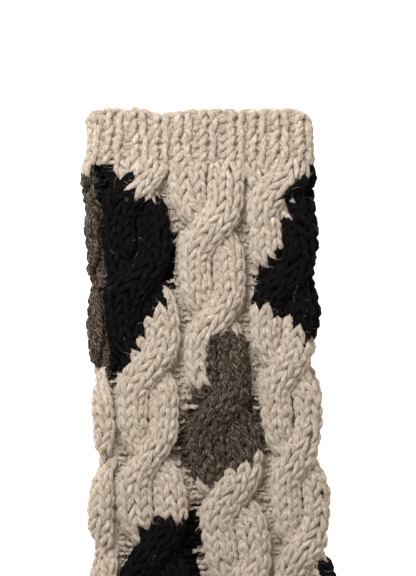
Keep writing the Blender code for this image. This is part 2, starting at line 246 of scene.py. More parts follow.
@dataclass
class RopeCables:
    """The seven rope cables and how their strands run: across, crown height and slope."""

    tube: LaidTube
    count: int = 7
    shown: int = 4
    swing: float = 0.0069
    bow: float = 0.06
    half_width: float = 0.0075
    depth: float = 0.0044
    inner_depth: float = 0.0020
    edge_angle: float = math.radians(78)
    inner_angle: float = math.radians(50)
    crown_beside: float = 0.0042
    crown_over: float = 0.0061
    crown_under: float = 0.0018
    crossing_share: float = 0.35
    lift_share: float = 0.40
    fade: float = 0.0100
    cuff_share: float = 0.35
    slope_step: float = 0.00005
    late: tuple[int, ...] = (2, 5)
    second_phase: float = 0.0164
    # In millimetres: how far down, then the arc lengths of the four cables that show.
    places: tuple[tuple[float, float, float, float, float], ...] = (
        (0, -52.5, -26.6, 3, 30), (25, -53, -25.8, 3.5, 30.7), (33.2, -53, -25.7, 3.4, 31),
        (50, -52.8, -27.4, 3.3, 32.8), (64, -52.5, -26.8, 3.3, 32.5), (88, -52.2, -25.5, 4, 31.9),
        (104, -51.2, -24.1, 4, 31.2), (122, -49.5, -24.6, 5.2, 34), (142, -49.4, -25.7, 6.6, 34.6),
        (159, -49.5, -23.6, 7, 37.4), (179, -49.7, -23.1, 10.6, 37.9), (192, -49.8, -22.9, 11.5, 38.5),
        (260, -50, -23, 9.5, 37.5), (360, -50.5, -23.5, 6, 35),
    )
    # How far down in millimetres, then how wide each of those four is for its usual width.
    spreads: tuple[tuple[float, float, float, float, float], ...] = (
        (0, 0.78, 1.00, 1.06, 1.00), (25, 0.74, 1.00, 1.11, 1.00), (52, 0.72, 1.00, 1.03, 0.97),
        (64, 0.72, 1.02, 0.98, 0.96), (90, 0.73, 1.07, 0.95, 0.95), (101, 0.75, 1.00, 0.94, 0.93),
        (122, 0.79, 0.88, 1.00, 0.90), (136, 0.79, 0.91, 1.08, 0.90), (158, 0.80, 1.00, 1.05, 0.88),
        (179, 0.84, 1.00, 0.98, 0.92), (200, 0.88, 1.00, 1.00, 0.96), (360, 0.90, 1.00, 1.00, 1.00),
    )

    def spread(self, cable: int, down: Array) -> Array:
        """How wide a cable is for its usual width. Those underneath are all alike.

        Args:
            cable: which of the cables, from the seam round.
            down: distances from the top cuff's edge.

        Returns:
            The width at each distance, as a share of the usual one.
        """
        if cable < self.shown:
            return read_off(self.spreads, 1 + cable, down)
        return np.ones_like(down)

    def centre(self, cable: int, down: Array) -> Array:
        """The arc length of a cable's middle. Those underneath share what room is left.

        Args:
            cable: which of the cables, from the seam round.
            down: distances from the top cuff's edge.

        Returns:
            The arc length at each distance.
        """
        if cable < self.shown:
            return MM * read_off(self.places, 1 + cable, down)
        last = self.shown - 1
        first, final = (self.centre(shown, down) for shown in (0, last))
        room = first + self.tube.girth(down) - final
        return final + room * (cable - last) / (self.count - last)

    def phase(self, cable: int, down: Array) -> tuple[Array, Array]:
        """How far on from the nearest crossing, in periods, and that crossing's number.

        Args:
            cable: which of the cables, from the seam round.
            down: distances from the top cuff's edge.

        Returns:
            The phase, -0.5 to 0.5 between two crossings, and the crossing's number.
        """
        late = cable in self.late
        first = self.tube.first_crossing + (self.second_phase if late else 0)
        turns = (down - first) / self.tube.period
        crossing = np.clip(np.round(turns), 0, self.tube.crossings - late)
        return turns - crossing, crossing

    def path(self, cable: int, strand: int, down: Array) -> Array:
        """A strand's way across from its cable's middle: it bows out between two crossings.

        Args:
            cable: which of the cables, from the seam round.
            strand: 0 or 1.
            down: distances from the top cuff's edge.

        Returns:
            The way across at each distance.
        """
        phase, crossing = self.phase(cable, down)
        order = np.where((crossing + strand) % 2 == 1, -1.0, 1.0)
        swing = np.sin(0.5 * np.pi * np.clip(phase / self.crossing_share, -1, 1))
        bowed = 1 + self.bow * np.sin(np.pi * np.clip(np.abs(phase), 0, 0.5)) ** 4
        return -order * self.swing * self.spread(cable, down) * swing * bowed

    def strand(self, cable: int, strand: int, down: Array) -> tuple[Array, ...]:
        """A strand's way across, its crown height, its slope and how near its crossing is.

        Args:
            cable: which of the cables, from the seam round.
            strand: 0 or 1.
            down: distances from the top cuff's edge.

        Returns:
            Those four, at each distance.
        """
        phase, crossing = self.phase(cable, down)
        order = np.where((crossing + strand) % 2 == 1, -1.0, 1.0)
        across = self.path(cable, strand, down)
        ahead = self.path(cable, strand, down + self.slope_step)
        slope = (ahead - self.path(cable, strand, down - self.slope_step)) / (2 * self.slope_step)
        near = np.cos(0.5 * np.pi * np.minimum(np.abs(phase) / self.lift_share, 1)) ** 2
        top = np.where(order > 0, self.crown_over, self.crown_under)
        return across, self.crown_beside + (top - self.crown_beside) * near, slope, near

    def section(self, share: Array, across: Array, near: Array, half: Array) -> tuple[Array, ...]:
        """A strand's rounded section, shallow on the side where it lies along its partner.

        Args:
            share: -1 at one edge, 0 at the crown and 1 at the other edge.
            across: the strand's way across from its cable's middle.
            near: 1 at a crossing and 0 between two crossings.
            half: half of the strand's width.

        Returns:
            The way across from the crown, the drop below it and the drop's steepness.
        """
        inner = (share * across < 0) * (1 - near)
        angle = self.edge_angle + (self.inner_angle - self.edge_angle) * inner
        depth = self.depth + (self.inner_depth - self.depth) * inner
        turn = share * angle
        away = half * np.sin(turn) / np.sin(angle)
        drop = depth * (1 - np.cos(turn)) / (1 - np.cos(angle))
        steep = depth * np.sin(turn) * np.sin(angle)
        steep = steep / (half * np.cos(turn) * (1 - np.cos(angle)))
        return away, drop, steep

    def half(self, cable: int, down: Array) -> Array:
        """Half the width of each of a cable's strands."""
        return self.half_width * self.spread(cable, down)

    def ease(self, down: Array) -> Array:
        """How much of their height the cables have, less near the cuffs."""
        from_cuff = np.minimum(down, self.tube.length - down) - self.tube.cuff
        return self.cuff_share + (1 - self.cuff_share) * np.clip(from_cuff / self.fade, 0, 1)

    def settled(self, lift: Array, arc: Array, down: Array) -> Array:
        """A lift as it is on the front, lower near the cuffs, and pressed flat underneath."""
        above = self.tube.share_above(arc, down)
        return self.tube.pressed(lift * self.ease(down), self.crown_over, above)

    def edge(self, cable: int, side: int, down: Array) -> Array:
        """The arc length of a cable's outer edge on one side, -1 or 1.

        Args:
            cable: which of the cables, from the seam round.
            side: -1 for the lower arc lengths and 1 for the higher ones.
            down: distances from the top cuff's edge.

        Returns:
            The arc length at each distance.
        """
        reach = [self.strand(cable, strand, down) for strand in (0, 1)]
        far = np.maximum(*[side * values[0] for values in reach])
        far = far + self.half(cable, down) * np.hypot(1, reach[0][2])
        return self.centre(cable, down) + side * far

    def ground_lift(self, arc: Array, down: Array) -> Array:
        """The height of the highest strand at each point, in the wall's own terms.

        Args:
            arc: arc lengths round the section.
            down: distances from the top cuff's edge.

        Returns:
            The height at each point, 0 beside the cables.
        """
        lift = np.zeros_like(arc)
        girth = self.tube.girth(down)
        for cable in range(self.count):
            half = self.half(cable, down)
            for strand in (0, 1):
                across, crown, slope, _ = self.strand(cable, strand, down)
                away = arc - self.centre(cable, down) - across
                away = (away + girth / 2) % girth - girth / 2
                rise = 1 - (away / np.hypot(1, slope) / half) ** 2
                dome = crown - self.depth * (1 - np.sqrt(np.maximum(rise, 0)))
                lift = np.maximum(lift, np.where(rise > 0, dome, 0))
        return lift


@dataclass
class Patches:
    """Where the black and the brown wool are knitted in, as outlines of (arc, down) in millimetres."""

    black: tuple[Outline, ...] = (
        (
            (-48, 20.5), (-44, 20.9), (-41.2, 20.5), (-38.8, 20.5), (-33.8, 20.5), (-33.2, 23.8),
            (-31.8, 29), (-28, 28.5), (-28.4, 34), (-23.7, 34.5), (-23.1, 35.5), (-19.7, 35),
            (-16.9, 35.7), (-15.3, 38.5), (-14.5, 43), (-15.7, 52.5), (-11.2, 53.3), (-11.2, 72.6),
            (-13.3, 74.6), (-17.8, 75.4), (-17.1, 78.7), (-15.9, 82), (-19.7, 84.5), (-20.6, 86.9),
            (-23.9, 87.3), (-24.5, 92.2), (-27.1, 95.1), (-28.1, 100), (-29.5, 103.3), (-33, 107.4),
            (-35.8, 109.8), (-38.4, 110), (-39.6, 100.4), (-40.8, 97.2), (-40.6, 89), (-40.6, 82.8),
            (-38.3, 72.6), (-38.2, 66.4), (-40.2, 63.1), (-41.6, 58.2), (-41.9, 50), (-41, 43.9),
            (-40.2, 35.7), (-40.5, 31.5), (-43, 29.2), (-43.2, 26.2),
        ),
        (
            (33.8, 36.2), (33.6, 33), (35, 28.5), (36.8, 26.2), (44.6, 25), (60, 26.2), (64, 56),
            (61, 97.2), (44.2, 94.3), (41.5, 92.7), (39.5, 94.3), (37.5, 89.4), (34.3, 87.7),
            (31.2, 84.5), (27.9, 84.5), (25.1, 81.2), (23.5, 80.4), (21.1, 77.9), (19.5, 74.6),
            (19.6, 71.7), (23.8, 67.2), (26.3, 65.6), (29.7, 60.3), (31.8, 56.2), (32.4, 50),
            (31.3, 48.4), (34.8, 46.7), (33.9, 44.3), (36.5, 40.2), (39.9, 36.1), (35.6, 37.7),
        ),
        (
            (-7.3, 161.1), (-5.8, 164.8), (-1.4, 170.6), (-0.2, 175.1), (-0.7, 179.2), (-4.8, 178.8),
            (-5.3, 184.1), (-4.2, 189.4), (-5.1, 197.6), (-9.3, 209.9), (-16.7, 217.3), (-25.7, 215.7),
            (-33.9, 207.9), (-37.9, 197.6), (-37, 191.9), (-36.5, 186.1), (-33.5, 177.5),
            (-29.4, 176.3), (-25.2, 173), (-22.2, 168.1), (-16.9, 168.1), (-14.4, 166.5), (-8.7, 166.5),
        ),
        (
            (46.7, 182.5), (43, 185.3), (41.6, 189.4), (38.4, 197.6), (35, 205.8), (35.7, 218.1),
            (42.4, 224.3), (64, 220), (64, 193.5), (56, 183.7),
        ),
        ((-12, 262), (6, 258), (12, 272), (8, 290), (-4, 300), (-18, 284)),
        ((80, 60), (98, 52), (112, 70), (106, 104), (88, 110), (76, 88)),
        ((82, 262), (104, 255), (112, 282), (98, 305), (80, 292)),
    )
    brown: tuple[Outline, ...] = (
        (
            (-64, 26.2), (-43.2, 26.2), (-43, 29.2), (-40.5, 31.5), (-40.2, 35.7), (-41, 43.9),
            (-41.9, 50), (-41.6, 58.2), (-40.2, 63.1), (-38.2, 66.4), (-38.3, 72.6), (-40.6, 82.8),
            (-40.6, 89), (-40.8, 97.2), (-39.6, 100.4), (-38.4, 105.8), (-38.4, 110), (-39, 112.5),
            (-40.9, 112), (-45.8, 108.2), (-64, 107.5), (-70, 70),
        ),
        (
            (2.5, 94.3), (5.4, 92.7), (9.9, 91.8), (14, 93.1), (16.7, 97.2), (17.5, 105.4),
            (18.8, 113.6), (19.3, 119.7), (21.6, 125.9), (21.9, 132), (24.2, 136.9), (21.3, 139.8),
            (17.6, 139), (15.1, 142.7), (13, 145.5), (9.7, 147.2), (6.4, 148.8), (2.6, 155.4),
            (-1.5, 154.6), (-4.3, 150.9), (-7.2, 150.5), (-10.4, 146.4), (-13.2, 142.3), (-14.7, 138.2),
            (-15.1, 132.8), (-13.3, 127.9), (-7.9, 124.6), (-5, 123), (-6.9, 120.5), (-9.3, 118.5),
            (-8.4, 116), (-3.4, 115.6), (-0.5, 113.6), (-1, 107.4), (1, 98.4),
        ),
        ((-50, 232), (-36, 226), (-28, 240), (-32, 262), (-46, 272), (-62, 256)),
        ((24, 276), (40, 266), (56, 280), (50, 306), (32, 314), (22, 296)),
        ((-96, 130), (-80, 122), (-70, 150), (-78, 182), (-94, 176)),
        ((72, 150), (88, 146), (94, 176), (84, 206), (70, 190)),
    )

    def wool_at(self, arc: Array, down: Array, girth: Array) -> Array:
        """The index in Wool of each stitch.

        Args:
            arc: the arc length of its middle.
            down: the distance down of its middle.
            girth: the whole way round there.

        Returns:
            An array of indexes, of the same shape.
        """
        found = np.zeros(arc.shape, int)
        for wool, outlines in ((Wool.BLACK, self.black), (Wool.BROWN, self.brown)):
            index = list(Wool).index(wool)
            for outline in outlines:
                for turn in (-1, 0, 1):
                    inside = self.inside(MM * np.array(outline), arc + turn * girth, down)
                    found = np.where(inside & (found == 0), index, found)
        return found

    @staticmethod
    def inside(outline: Array, arc: Array, down: Array) -> Array:
        """Whether each point lies inside an outline, by counting the sides it has to one hand.

        Args:
            outline: (points, 2) the outline's points, in metres.
            arc: the points' arc lengths.
            down: their distances down.

        Returns:
            True for each point inside.
        """
        odd = np.zeros(arc.shape, bool)
        for (a0, d0), (a1, d1) in zip(outline, np.roll(outline, -1, 0)):
            if d0 == d1:
                continue
            between = (d0 > down) != (d1 > down)
            odd ^= between & (arc < (a1 - a0) * (down - d0) / (d1 - d0) + a0)
        return odd


@dataclass
class Loops:
    """Rows of stitches on the tube, each with the points of its loop of yarn on the last axis."""

    arc: Array
    down: Array
    lift: Array
    radius: Array
    tone: Array
    closed: bool

    @property
    def steps(self) -> int:
        """How many points a loop has before the next one starts."""
        return self.arc.shape[-1] - 1

    def middles(self) -> tuple[Array, Array]:
        """The arc length and distance down of each stitch's middle."""
        return self.arc[..., :-1].mean(-1), self.down[..., :-1].mean(-1)


@dataclass
class YarnPaths:
    """Runs of yarn as points with their thickness, way out and tone, ready to be swept."""

    points: list[Array] = field(default_factory=list)
    outs: list[Array] = field(default_factory=list)
    radii: list[Array] = field(default_factory=list)
    tones: list[Array] = field(default_factory=list)
    edges: list[Array] = field(default_factory=list)
    size: int = 0

    def add(self, tube: LaidTube, loops: Loops, chosen: Array) -> None:
        """Adds the chosen stitches, each joined to the next one in its row that is chosen too.

        Args:
            tube: the tube that the loops lie on.
            loops: rows of stitches.
            chosen: (rows, stitches) which of them are added.
        """
        linked = chosen & np.roll(chosen, -1, 1)
        if not loops.closed:
            linked[:, -1] = False
        kept = np.repeat(chosen[..., None], loops.steps + 1, -1)
        kept[..., -1] &= ~linked
        number = np.where(kept, self.size + np.cumsum(kept.ravel()).reshape(kept.shape) - 1, -1)
        number[..., -1] = np.where(linked, np.roll(number[..., 0], -1, 1), number[..., -1])
        pairs = np.stack([number[..., :-1], number[..., 1:]], -1).reshape(-1, 2)
        points, outs = tube.place(loops.arc, loops.down, loops.lift)
        self.points.append(points[kept])
        self.outs.append(outs[kept])
        self.radii.append(loops.radius[kept])
        self.tones.append(np.repeat(loops.tone[..., None], loops.steps + 1, -1)[kept])
        self.edges.append(pairs[(pairs >= 0).all(-1)])
        self.size += int(kept.sum())

    def mesh(self, name: str, mirror: int) -> bpy.types.Mesh:
        """A mesh of bare edges with the yarn's attributes.

        Args:
            name: the mesh's name.
            mirror: 1, or -1 for the second warmer.

        Returns:
            The new mesh.
        """
        flip = np.array([mirror, 1, 1])
        mesh = bpy.data.meshes.new(name)
        mesh.vertices.add(self.size)
        mesh.vertices.foreach_set("co", (np.concatenate(self.points) * flip).ravel())
        edges = np.concatenate(self.edges)
        mesh.edges.add(len(edges))
        mesh.edges.foreach_set("vertices", edges.ravel().astype(np.int32))
        for label, kind, entry, values in (
            ("yarn_radius", "FLOAT", "value", np.concatenate(self.radii)),
            ("tone", "FLOAT", "value", np.concatenate(self.tones)),
            ("outward", "FLOAT_VECTOR", "vector", np.concatenate(self.outs) * flip),
        ):
            mesh.attributes.new(label, kind, "POINT").data.foreach_set(entry, values.ravel())
        mesh.update()
        return mesh


@dataclass(frozen=True)
class LoopShape:
    """One stitch's loop of yarn, as a curve over a full turn from foot to head to foot.

    A knit loop shows its two legs, and a purl loop shows its head and feet.
    """

    steps: int = 10
    lean: float = 0.31
    bias: float = 0.0
    part: float = 0.0
    reach: float = 1.12
    purl_reach: float = 0.75
    depth: float = 0.00150
    leg_radius: float = 0.00138
    head_radius: float = 0.00085
    crowd: float = 0.22
    hold: float = 1.0
    pinch: float = 1.0
    under_depth: float = 0.60
    under_radius: float = 0.80
    wander_along: float = 0.10
    wander_across: float = 0.045
    wander_lean: float = 0.15
    wander_radius: float = 0.06

    def wobble(self, shape: tuple, seed: int) -> dict[str, Array]:
        """The small differences of each stitch from its neighbours, by what they change.

        Args:
            shape: the rows, the stitches in a row and the points of a loop.
            seed: fixes what is drawn.

        Returns:
            What is drawn for each stitch, with a last axis of one, by what it changes.
        """
        named = ("along", "across", "lean", "radius", "tone")
        drawn = np.random.default_rng(seed).normal(0, 1, (len(named), *shape[:2], 1))
        return dict(zip(named, drawn))

    def curve(self, knit: Array, wobble: dict[str, Array]) -> tuple[Array, ...]:
        """The loop's way across (0 to 1), along (in rows) and out (-1 at the back, 1 in front).

        Args:
            knit: 1 for knit stitches and -1 for purl, with (.., steps + 1) values between.
            wobble: the small differences of each stitch.

        Returns:
            The way across, along and out of each of the loop's points.
        """
        even = np.linspace(0, 2 * math.pi, self.steps + 1)
        turn = even + self.crowd * knit * np.sin(2 * even)
        lean = self.lean * (1 + self.bias * np.sin(turn) + self.wander_lean * wobble["lean"])
        across = turn / (2 * math.pi) + lean * np.sin(2 * turn) - self.part * np.sin(turn)
        across = across + self.wander_across * wobble["across"]
        reach = self.purl_reach + (self.reach - self.purl_reach) * 0.5 * (1 + knit)
        along = -reach * np.cos(turn) + self.wander_along * wobble["along"]
        out = np.tanh(-self.hold * knit * np.cos(2 * turn)) / math.tanh(self.hold)
        return across, along, out

    def radius(self, out: Array, above: Array) -> Array:
        """The yarn's radius: plump where it shows, thin where it is drawn in and underneath."""
        plump = self.head_radius + (self.leg_radius - self.head_radius) * (0.5 + 0.5 * out) ** self.pinch
        return plump * (self.under_radius + (1 - self.under_radius) * above)

    def inset(self, out: Array, above: Array) -> Array:
        """How far the yarn's middle lies in from the surface that its legs touch."""
        full = self.leg_radius + self.depth * (1 - out)
        return -full * (self.under_depth + (1 - self.under_depth) * above)


# How a rib's stitches differ from a cable's.
RIB_LOOP = LoopShape(
    lean=0.19,
    bias=0.27,
    pinch=1.1,
    part=0.04,
    reach=1.00,
    depth=0.0007,
    leg_radius=0.0015,
    hold=0.6,
    head_radius=0.0012,
    wander_along=0.12,
    wander_across=0.07,
    wander_lean=0.25,
)


@dataclass
class CableBody:
    """The cabled part of a warmer: 56 columns of stitches, in strands and purl gutters."""

    tube: LaidTube
    cables: RopeCables
    rows: int = 69
    gutter_columns: int = 2
    strand_columns: int = 3
    gutter_tuck: float = 0.0010
    gutter_thin: float = 0.78
    gutter_lift: float = -0.0012
    gutter_sink: float = 0.0030
    gutter_least: float = 0.50
    gutter_full_width: float = 0.0045
    cuff_overlap: float = 0.60

    def row_downs(self) -> Array:
        """How far down the middle of each row lies."""
        span = self.tube.length - 2 * self.tube.cuff
        return self.tube.cuff + span * (np.arange(self.rows) + 0.5) / self.rows

    @property
    def pitch(self) -> float:
        """The distance from one row to the next."""
        return (self.tube.length - 2 * self.tube.cuff) / self.rows

    def kept_in(self, down: Array) -> Array:
        """Distances down that stay clear of the cuffs' outer edges."""
        nearest = self.cuff_overlap * self.tube.cuff
        return np.clip(down, nearest, self.tube.length - nearest)

    def strand_loops(self, cable: int, strand: int, loop: LoopShape, seed: int) -> Loops:
        """The loops of one strand: a band of knit columns with a round crown, on its rope path.

        Args:
            cable: which of the cables, from the seam round.
            strand: 0 or 1.
            loop: the shape of one stitch.
            seed: fixes the small differences between stitches.

        Returns:
            The rows of loops.
        """
        shape = (self.rows, self.strand_columns, loop.steps + 1)
        cables = self.cables
        wobble = loop.wobble(shape, seed)
        across, along, out = loop.curve(np.ones(shape), wobble)
        down = self.kept_in(self.row_downs()[:, None, None] + along * self.pitch)
        column = np.arange(self.strand_columns)[None, :, None]
        share = 2 * (column + across) / self.strand_columns - 1
        path, crown, slope, near = cables.strand(cable, strand, down)
        stretch = np.hypot(1, slope)
        middle = cables.centre(cable, down) + path
        away, drop, steep = cables.section(share, path, near, cables.half(cable, down))
        tilt = np.hypot(1, steep)
        above = self.tube.share_above(middle + away, down)
        inset = loop.inset(out, above)
        away = away + inset * steep / tilt
        arc = middle + away / stretch
        lift = cables.settled(crown - drop, arc, down) + inset / tilt
        radius = loop.radius(out, above) * (1 + loop.wander_radius * wobble["radius"])
        down = self.kept_in(down - away * slope / stretch)
        return Loops(arc, down, lift, radius, wobble["tone"][..., 0], False)

    def gutter_loops(self, cable: int, loop: LoopShape, seed: int) -> Loops:
        """The purl loops between a cable and the next one round, squeezed where both bulge.

        Args:
            cable: the cable before the gutter.
            loop: the shape of one stitch.
            seed: fixes the small differences between stitches.

        Returns:
            The rows of loops.
        """
        shape = (self.rows, self.gutter_columns, loop.steps + 1)
        wobble = loop.wobble(shape, seed)
        across, along, out = loop.curve(-np.ones(shape), wobble)
        down = self.kept_in(self.row_downs()[:, None, None] + along * self.pitch)
        following = (cable + 1) % self.cables.count
        start = self.cables.edge(cable, 1, down) - self.gutter_tuck
        end = self.cables.edge(following, -1, down) + self.gutter_tuck
        end = end + self.tube.girth(down) * (following == 0)
        column = np.arange(self.gutter_columns)[None, :, None]
        share = (column + across) / self.gutter_columns
        arc = start + (end - start) * share
        above = self.tube.share_above(arc, down)
        room = (end - start) / self.gutter_columns / self.gutter_full_width
        room = np.clip(room, self.gutter_least, 1)
        radius = loop.radius(out, above) * room * self.gutter_thin
        radius = radius * (1 + loop.wander_radius * wobble["radius"])
        surface = self.gutter_lift - self.gutter_sink * (1 - room)
        lift = self.tube.pressed(surface, self.cables.crown_over, above)
        lift = lift + loop.inset(out, above) * room
        return Loops(arc, down, lift, radius, wobble["tone"][..., 0], False)

    def all_loops(self, loop: LoopShape, seed: int) -> list[Loops]:
        """The loops of every strand and gutter.

        Args:
            loop: the shape of one stitch.
            seed: the first strand's seed, after which each has the next number.

        Returns:
            The rows of loops, cable by cable: two strands and a gutter.
        """
        found = []
        for cable in range(self.cables.count):
            for strand in (0, 1):
                found.append(self.strand_loops(cable, strand, loop, seed + len(found)))
            found.append(self.gutter_loops(cable, loop, seed + len(found)))
        return found


@dataclass
class RibCuff:
    """A knit-one purl-one cuff: continuous courses that weave from front to back."""

    tube: LaidTube
    at_top: bool
    repeats: int = 21
    shown_repeats: int = 10
    repeat: float = 0.00963
    first: float = -0.0347
    # How far the first columns that show lie from where an even spacing has them.
    nudges: tuple[float, ...] = (0, -0.0006, 0.0004, -0.0008, -0.0012, -0.0006, 0.0015, 0.0002, 0, 0.0007)
    knit_width: float = 0.0072
    crest: float = 0.0018
    valley: float = 0.0009
    hump: float = 0.0005
    # Painted shade: the purl stitches' tone is lowered, darkening the sunken purl columns between the knit
    # ribs in colour.
    purl_painted_shade: float = -1.6
    weave: float = 0.17
    rows: int = 6
    first_row: float = 0.0034
    last_room: float = 0.25
    rim_room: float = 0.0012
    seam_room: float = 0.0011
    edge_inset: float = 0.0013
    edge_wave: float = 0.0012
    edge_ragged: float = 0.0005
    edge_radius: float = 0.0015
    edge_pinch: float = 0.65
    edge_sink: float = 0.0006

    def boundaries(self, down: Array) -> Array:
        """The arc lengths of the column boundaries, knit and purl in turn, with a last axis.

        Args:
            down: distances from the top cuff's edge.

        Returns:
            The arc lengths, one more on the last axis than there are columns.
        """
        girth = self.tube.girth(down)
        steps = np.arange(self.repeats)
        start = self.first - self.repeat
        shown = start + self.repeat * np.minimum(steps, self.shown_repeats - 1)
        room = girth[..., None] - self.repeat * (self.shown_repeats - 1)
        hidden = np.maximum(steps - (self.shown_repeats - 1), 0)
        knit = shown + room * hidden / (self.repeats - self.shown_repeats + 1)
        knit[..., : len(self.nudges)] += np.array(self.nudges)
        pairs = np.stack([knit - self.knit_width / 2, knit + self.knit_width / 2], -1)
        flat = pairs.reshape(*girth.shape, 2 * self.repeats)
        return np.concatenate([flat, flat[..., :1] + girth[..., None]], -1)

    def columns(self, across: Array, down: Array) -> Array:
        """Arc lengths from the way across each stitch (rows, stitches, points), 0 to 1.

        Args:
            across: the way across its stitch of each point, 0 to 1.
            down: distances from the top cuff's edge.

        Returns:
            The arc length of each point.
        """
        bounds = self.boundaries(down)
        index = np.arange(across.shape[1])[None, :, None, None]
        index = np.broadcast_to(index, (*across.shape, 1))
        low, high = (np.take_along_axis(bounds, index + step, -1)[..., 0] for step in (0, 1))
        return low + (high - low) * across

    def row_downs(self) -> Array:
        """How far down the middle of each course lies."""
        rows = self.first_row + self.pitch * np.arange(self.rows)
        return rows if self.at_top else self.tube.length - rows[::-1]

    @property
    def pitch(self) -> float:
        """The distance from one course to the next."""
        return (self.tube.cuff - self.first_row) / (self.rows - 1 + self.last_room)

    def kept_in(self, down: Array) -> Array:
        """Distances down that stay between the cuff's free edge and its seam.

        Args:
            down: distances from the top cuff's edge.

        Returns:
            The distances, brought to within those two limits.
        """
        from_rim = down if self.at_top else self.tube.length - down
        from_rim = np.clip(from_rim, self.rim_room, self.tube.cuff + self.seam_room)
        return from_rim if self.at_top else self.tube.length - from_rim

    def surface(self, knit: Array, across: Array, own: Array) -> Array:
        """The height that the yarn's front touches: high and rounded on knit, low on purl."""
        hump = np.where(own > 0, self.hump * (1 - (2 * across - 1) ** 2), 0)
        return self.valley + (self.crest - self.valley) * (0.5 + 0.5 * knit) + hump

    def laid(self, loop: LoopShape, front: Array, above: Array, out: Array) -> Array:
        """The lift of the yarn's middle.

        Args:
            loop: the shape of one stitch.
            front: the height that the yarn's front touches.
            above: 1 on the front and 0 underneath.
            out: -1 where the yarn is at the back and 1 where it is in front.

        Returns:
            The heights out of the wall, pressed flat underneath.
        """
        return self.tube.pressed(front, self.crest + self.hump, above) + loop.inset(out, above)

    def own(self, shape: tuple) -> Array:
        """1 for the knit stitches and -1 for the purl ones, in turn along the second axis."""
        return np.where(np.arange(shape[1]) % 2 == 0, 1.0, -1.0)[None, :, None] + np.zeros(shape)

    def courses(self, loop: LoopShape, seed: int) -> Loops:
        """The loops of every course of the cuff.

        Args:
            loop: the shape of one stitch.
            seed: fixes the small differences between stitches.

        Returns:
            The rows of loops.
        """
        shape = (self.rows, 2 * self.repeats, loop.steps + 1)
        turn = np.linspace(0, 1, loop.steps + 1)
        own = self.own(shape)
        knit = own * np.clip(np.minimum(turn, 1 - turn) / self.weave, 0, 1)
        wobble = loop.wobble(shape, seed)
        across, along, out = loop.curve(knit, wobble)
        down = self.kept_in(self.row_downs()[:, None, None] + along * self.pitch)
        arc = self.columns(across, down)
        above = self.tube.share_above(arc, down)
        lift = self.laid(loop, self.surface(knit, across, own), above, out)
        radius = loop.radius(out, above) * (1 + loop.wander_radius * wobble["radius"])
        # Purl stitches get a darker tone, a painted shade for their place down between the knit columns, on
        # top of their random tone.
        tone = wobble["tone"][..., 0] + np.where(own[..., 0] > 0, 0, self.purl_painted_shade)
        return Loops(arc, down, lift, radius, tone, True)

    def edge(self, loop: LoopShape, seed: int) -> Loops:
        """The cast-on or bound-off edge: a yarn round the rim with a bump on each knit leg.

        Args:
            loop: the shape of one stitch.
            seed: fixes the small differences between stitches.

        Returns:
            One row of loops.
        """
        shape = (1, 2 * self.repeats, loop.steps + 1)
        across = np.linspace(0, 1, loop.steps + 1) + np.zeros(shape)
        own = self.own(shape)
        bump = np.where(own > 0, np.abs(np.sin(2 * np.pi * across)), 0)
        wobble = loop.wobble(shape, seed)
        rim = self.edge_inset + self.edge_wave * (1 - bump) + self.edge_ragged * wobble["along"]
        down = rim if self.at_top else self.tube.length - rim
        arc = self.columns(across, down)
        above = self.tube.share_above(arc, down)
        lift = self.laid(loop, self.surface(own * bump, across, own), above, np.ones(shape))
        radius = self.edge_radius * (self.edge_pinch + (1 - self.edge_pinch) * bump)
        radius = radius * (1 + loop.wander_radius * wobble["radius"])
        return Loops(arc, down, lift - self.edge_sink, radius, wobble["tone"][..., 0], True)

    def all_loops(self, loop: LoopShape, seed: int) -> list[Loops]:
        """The cuff's courses and its edge."""
        return [self.courses(loop, seed), self.edge(loop, seed + 1)]


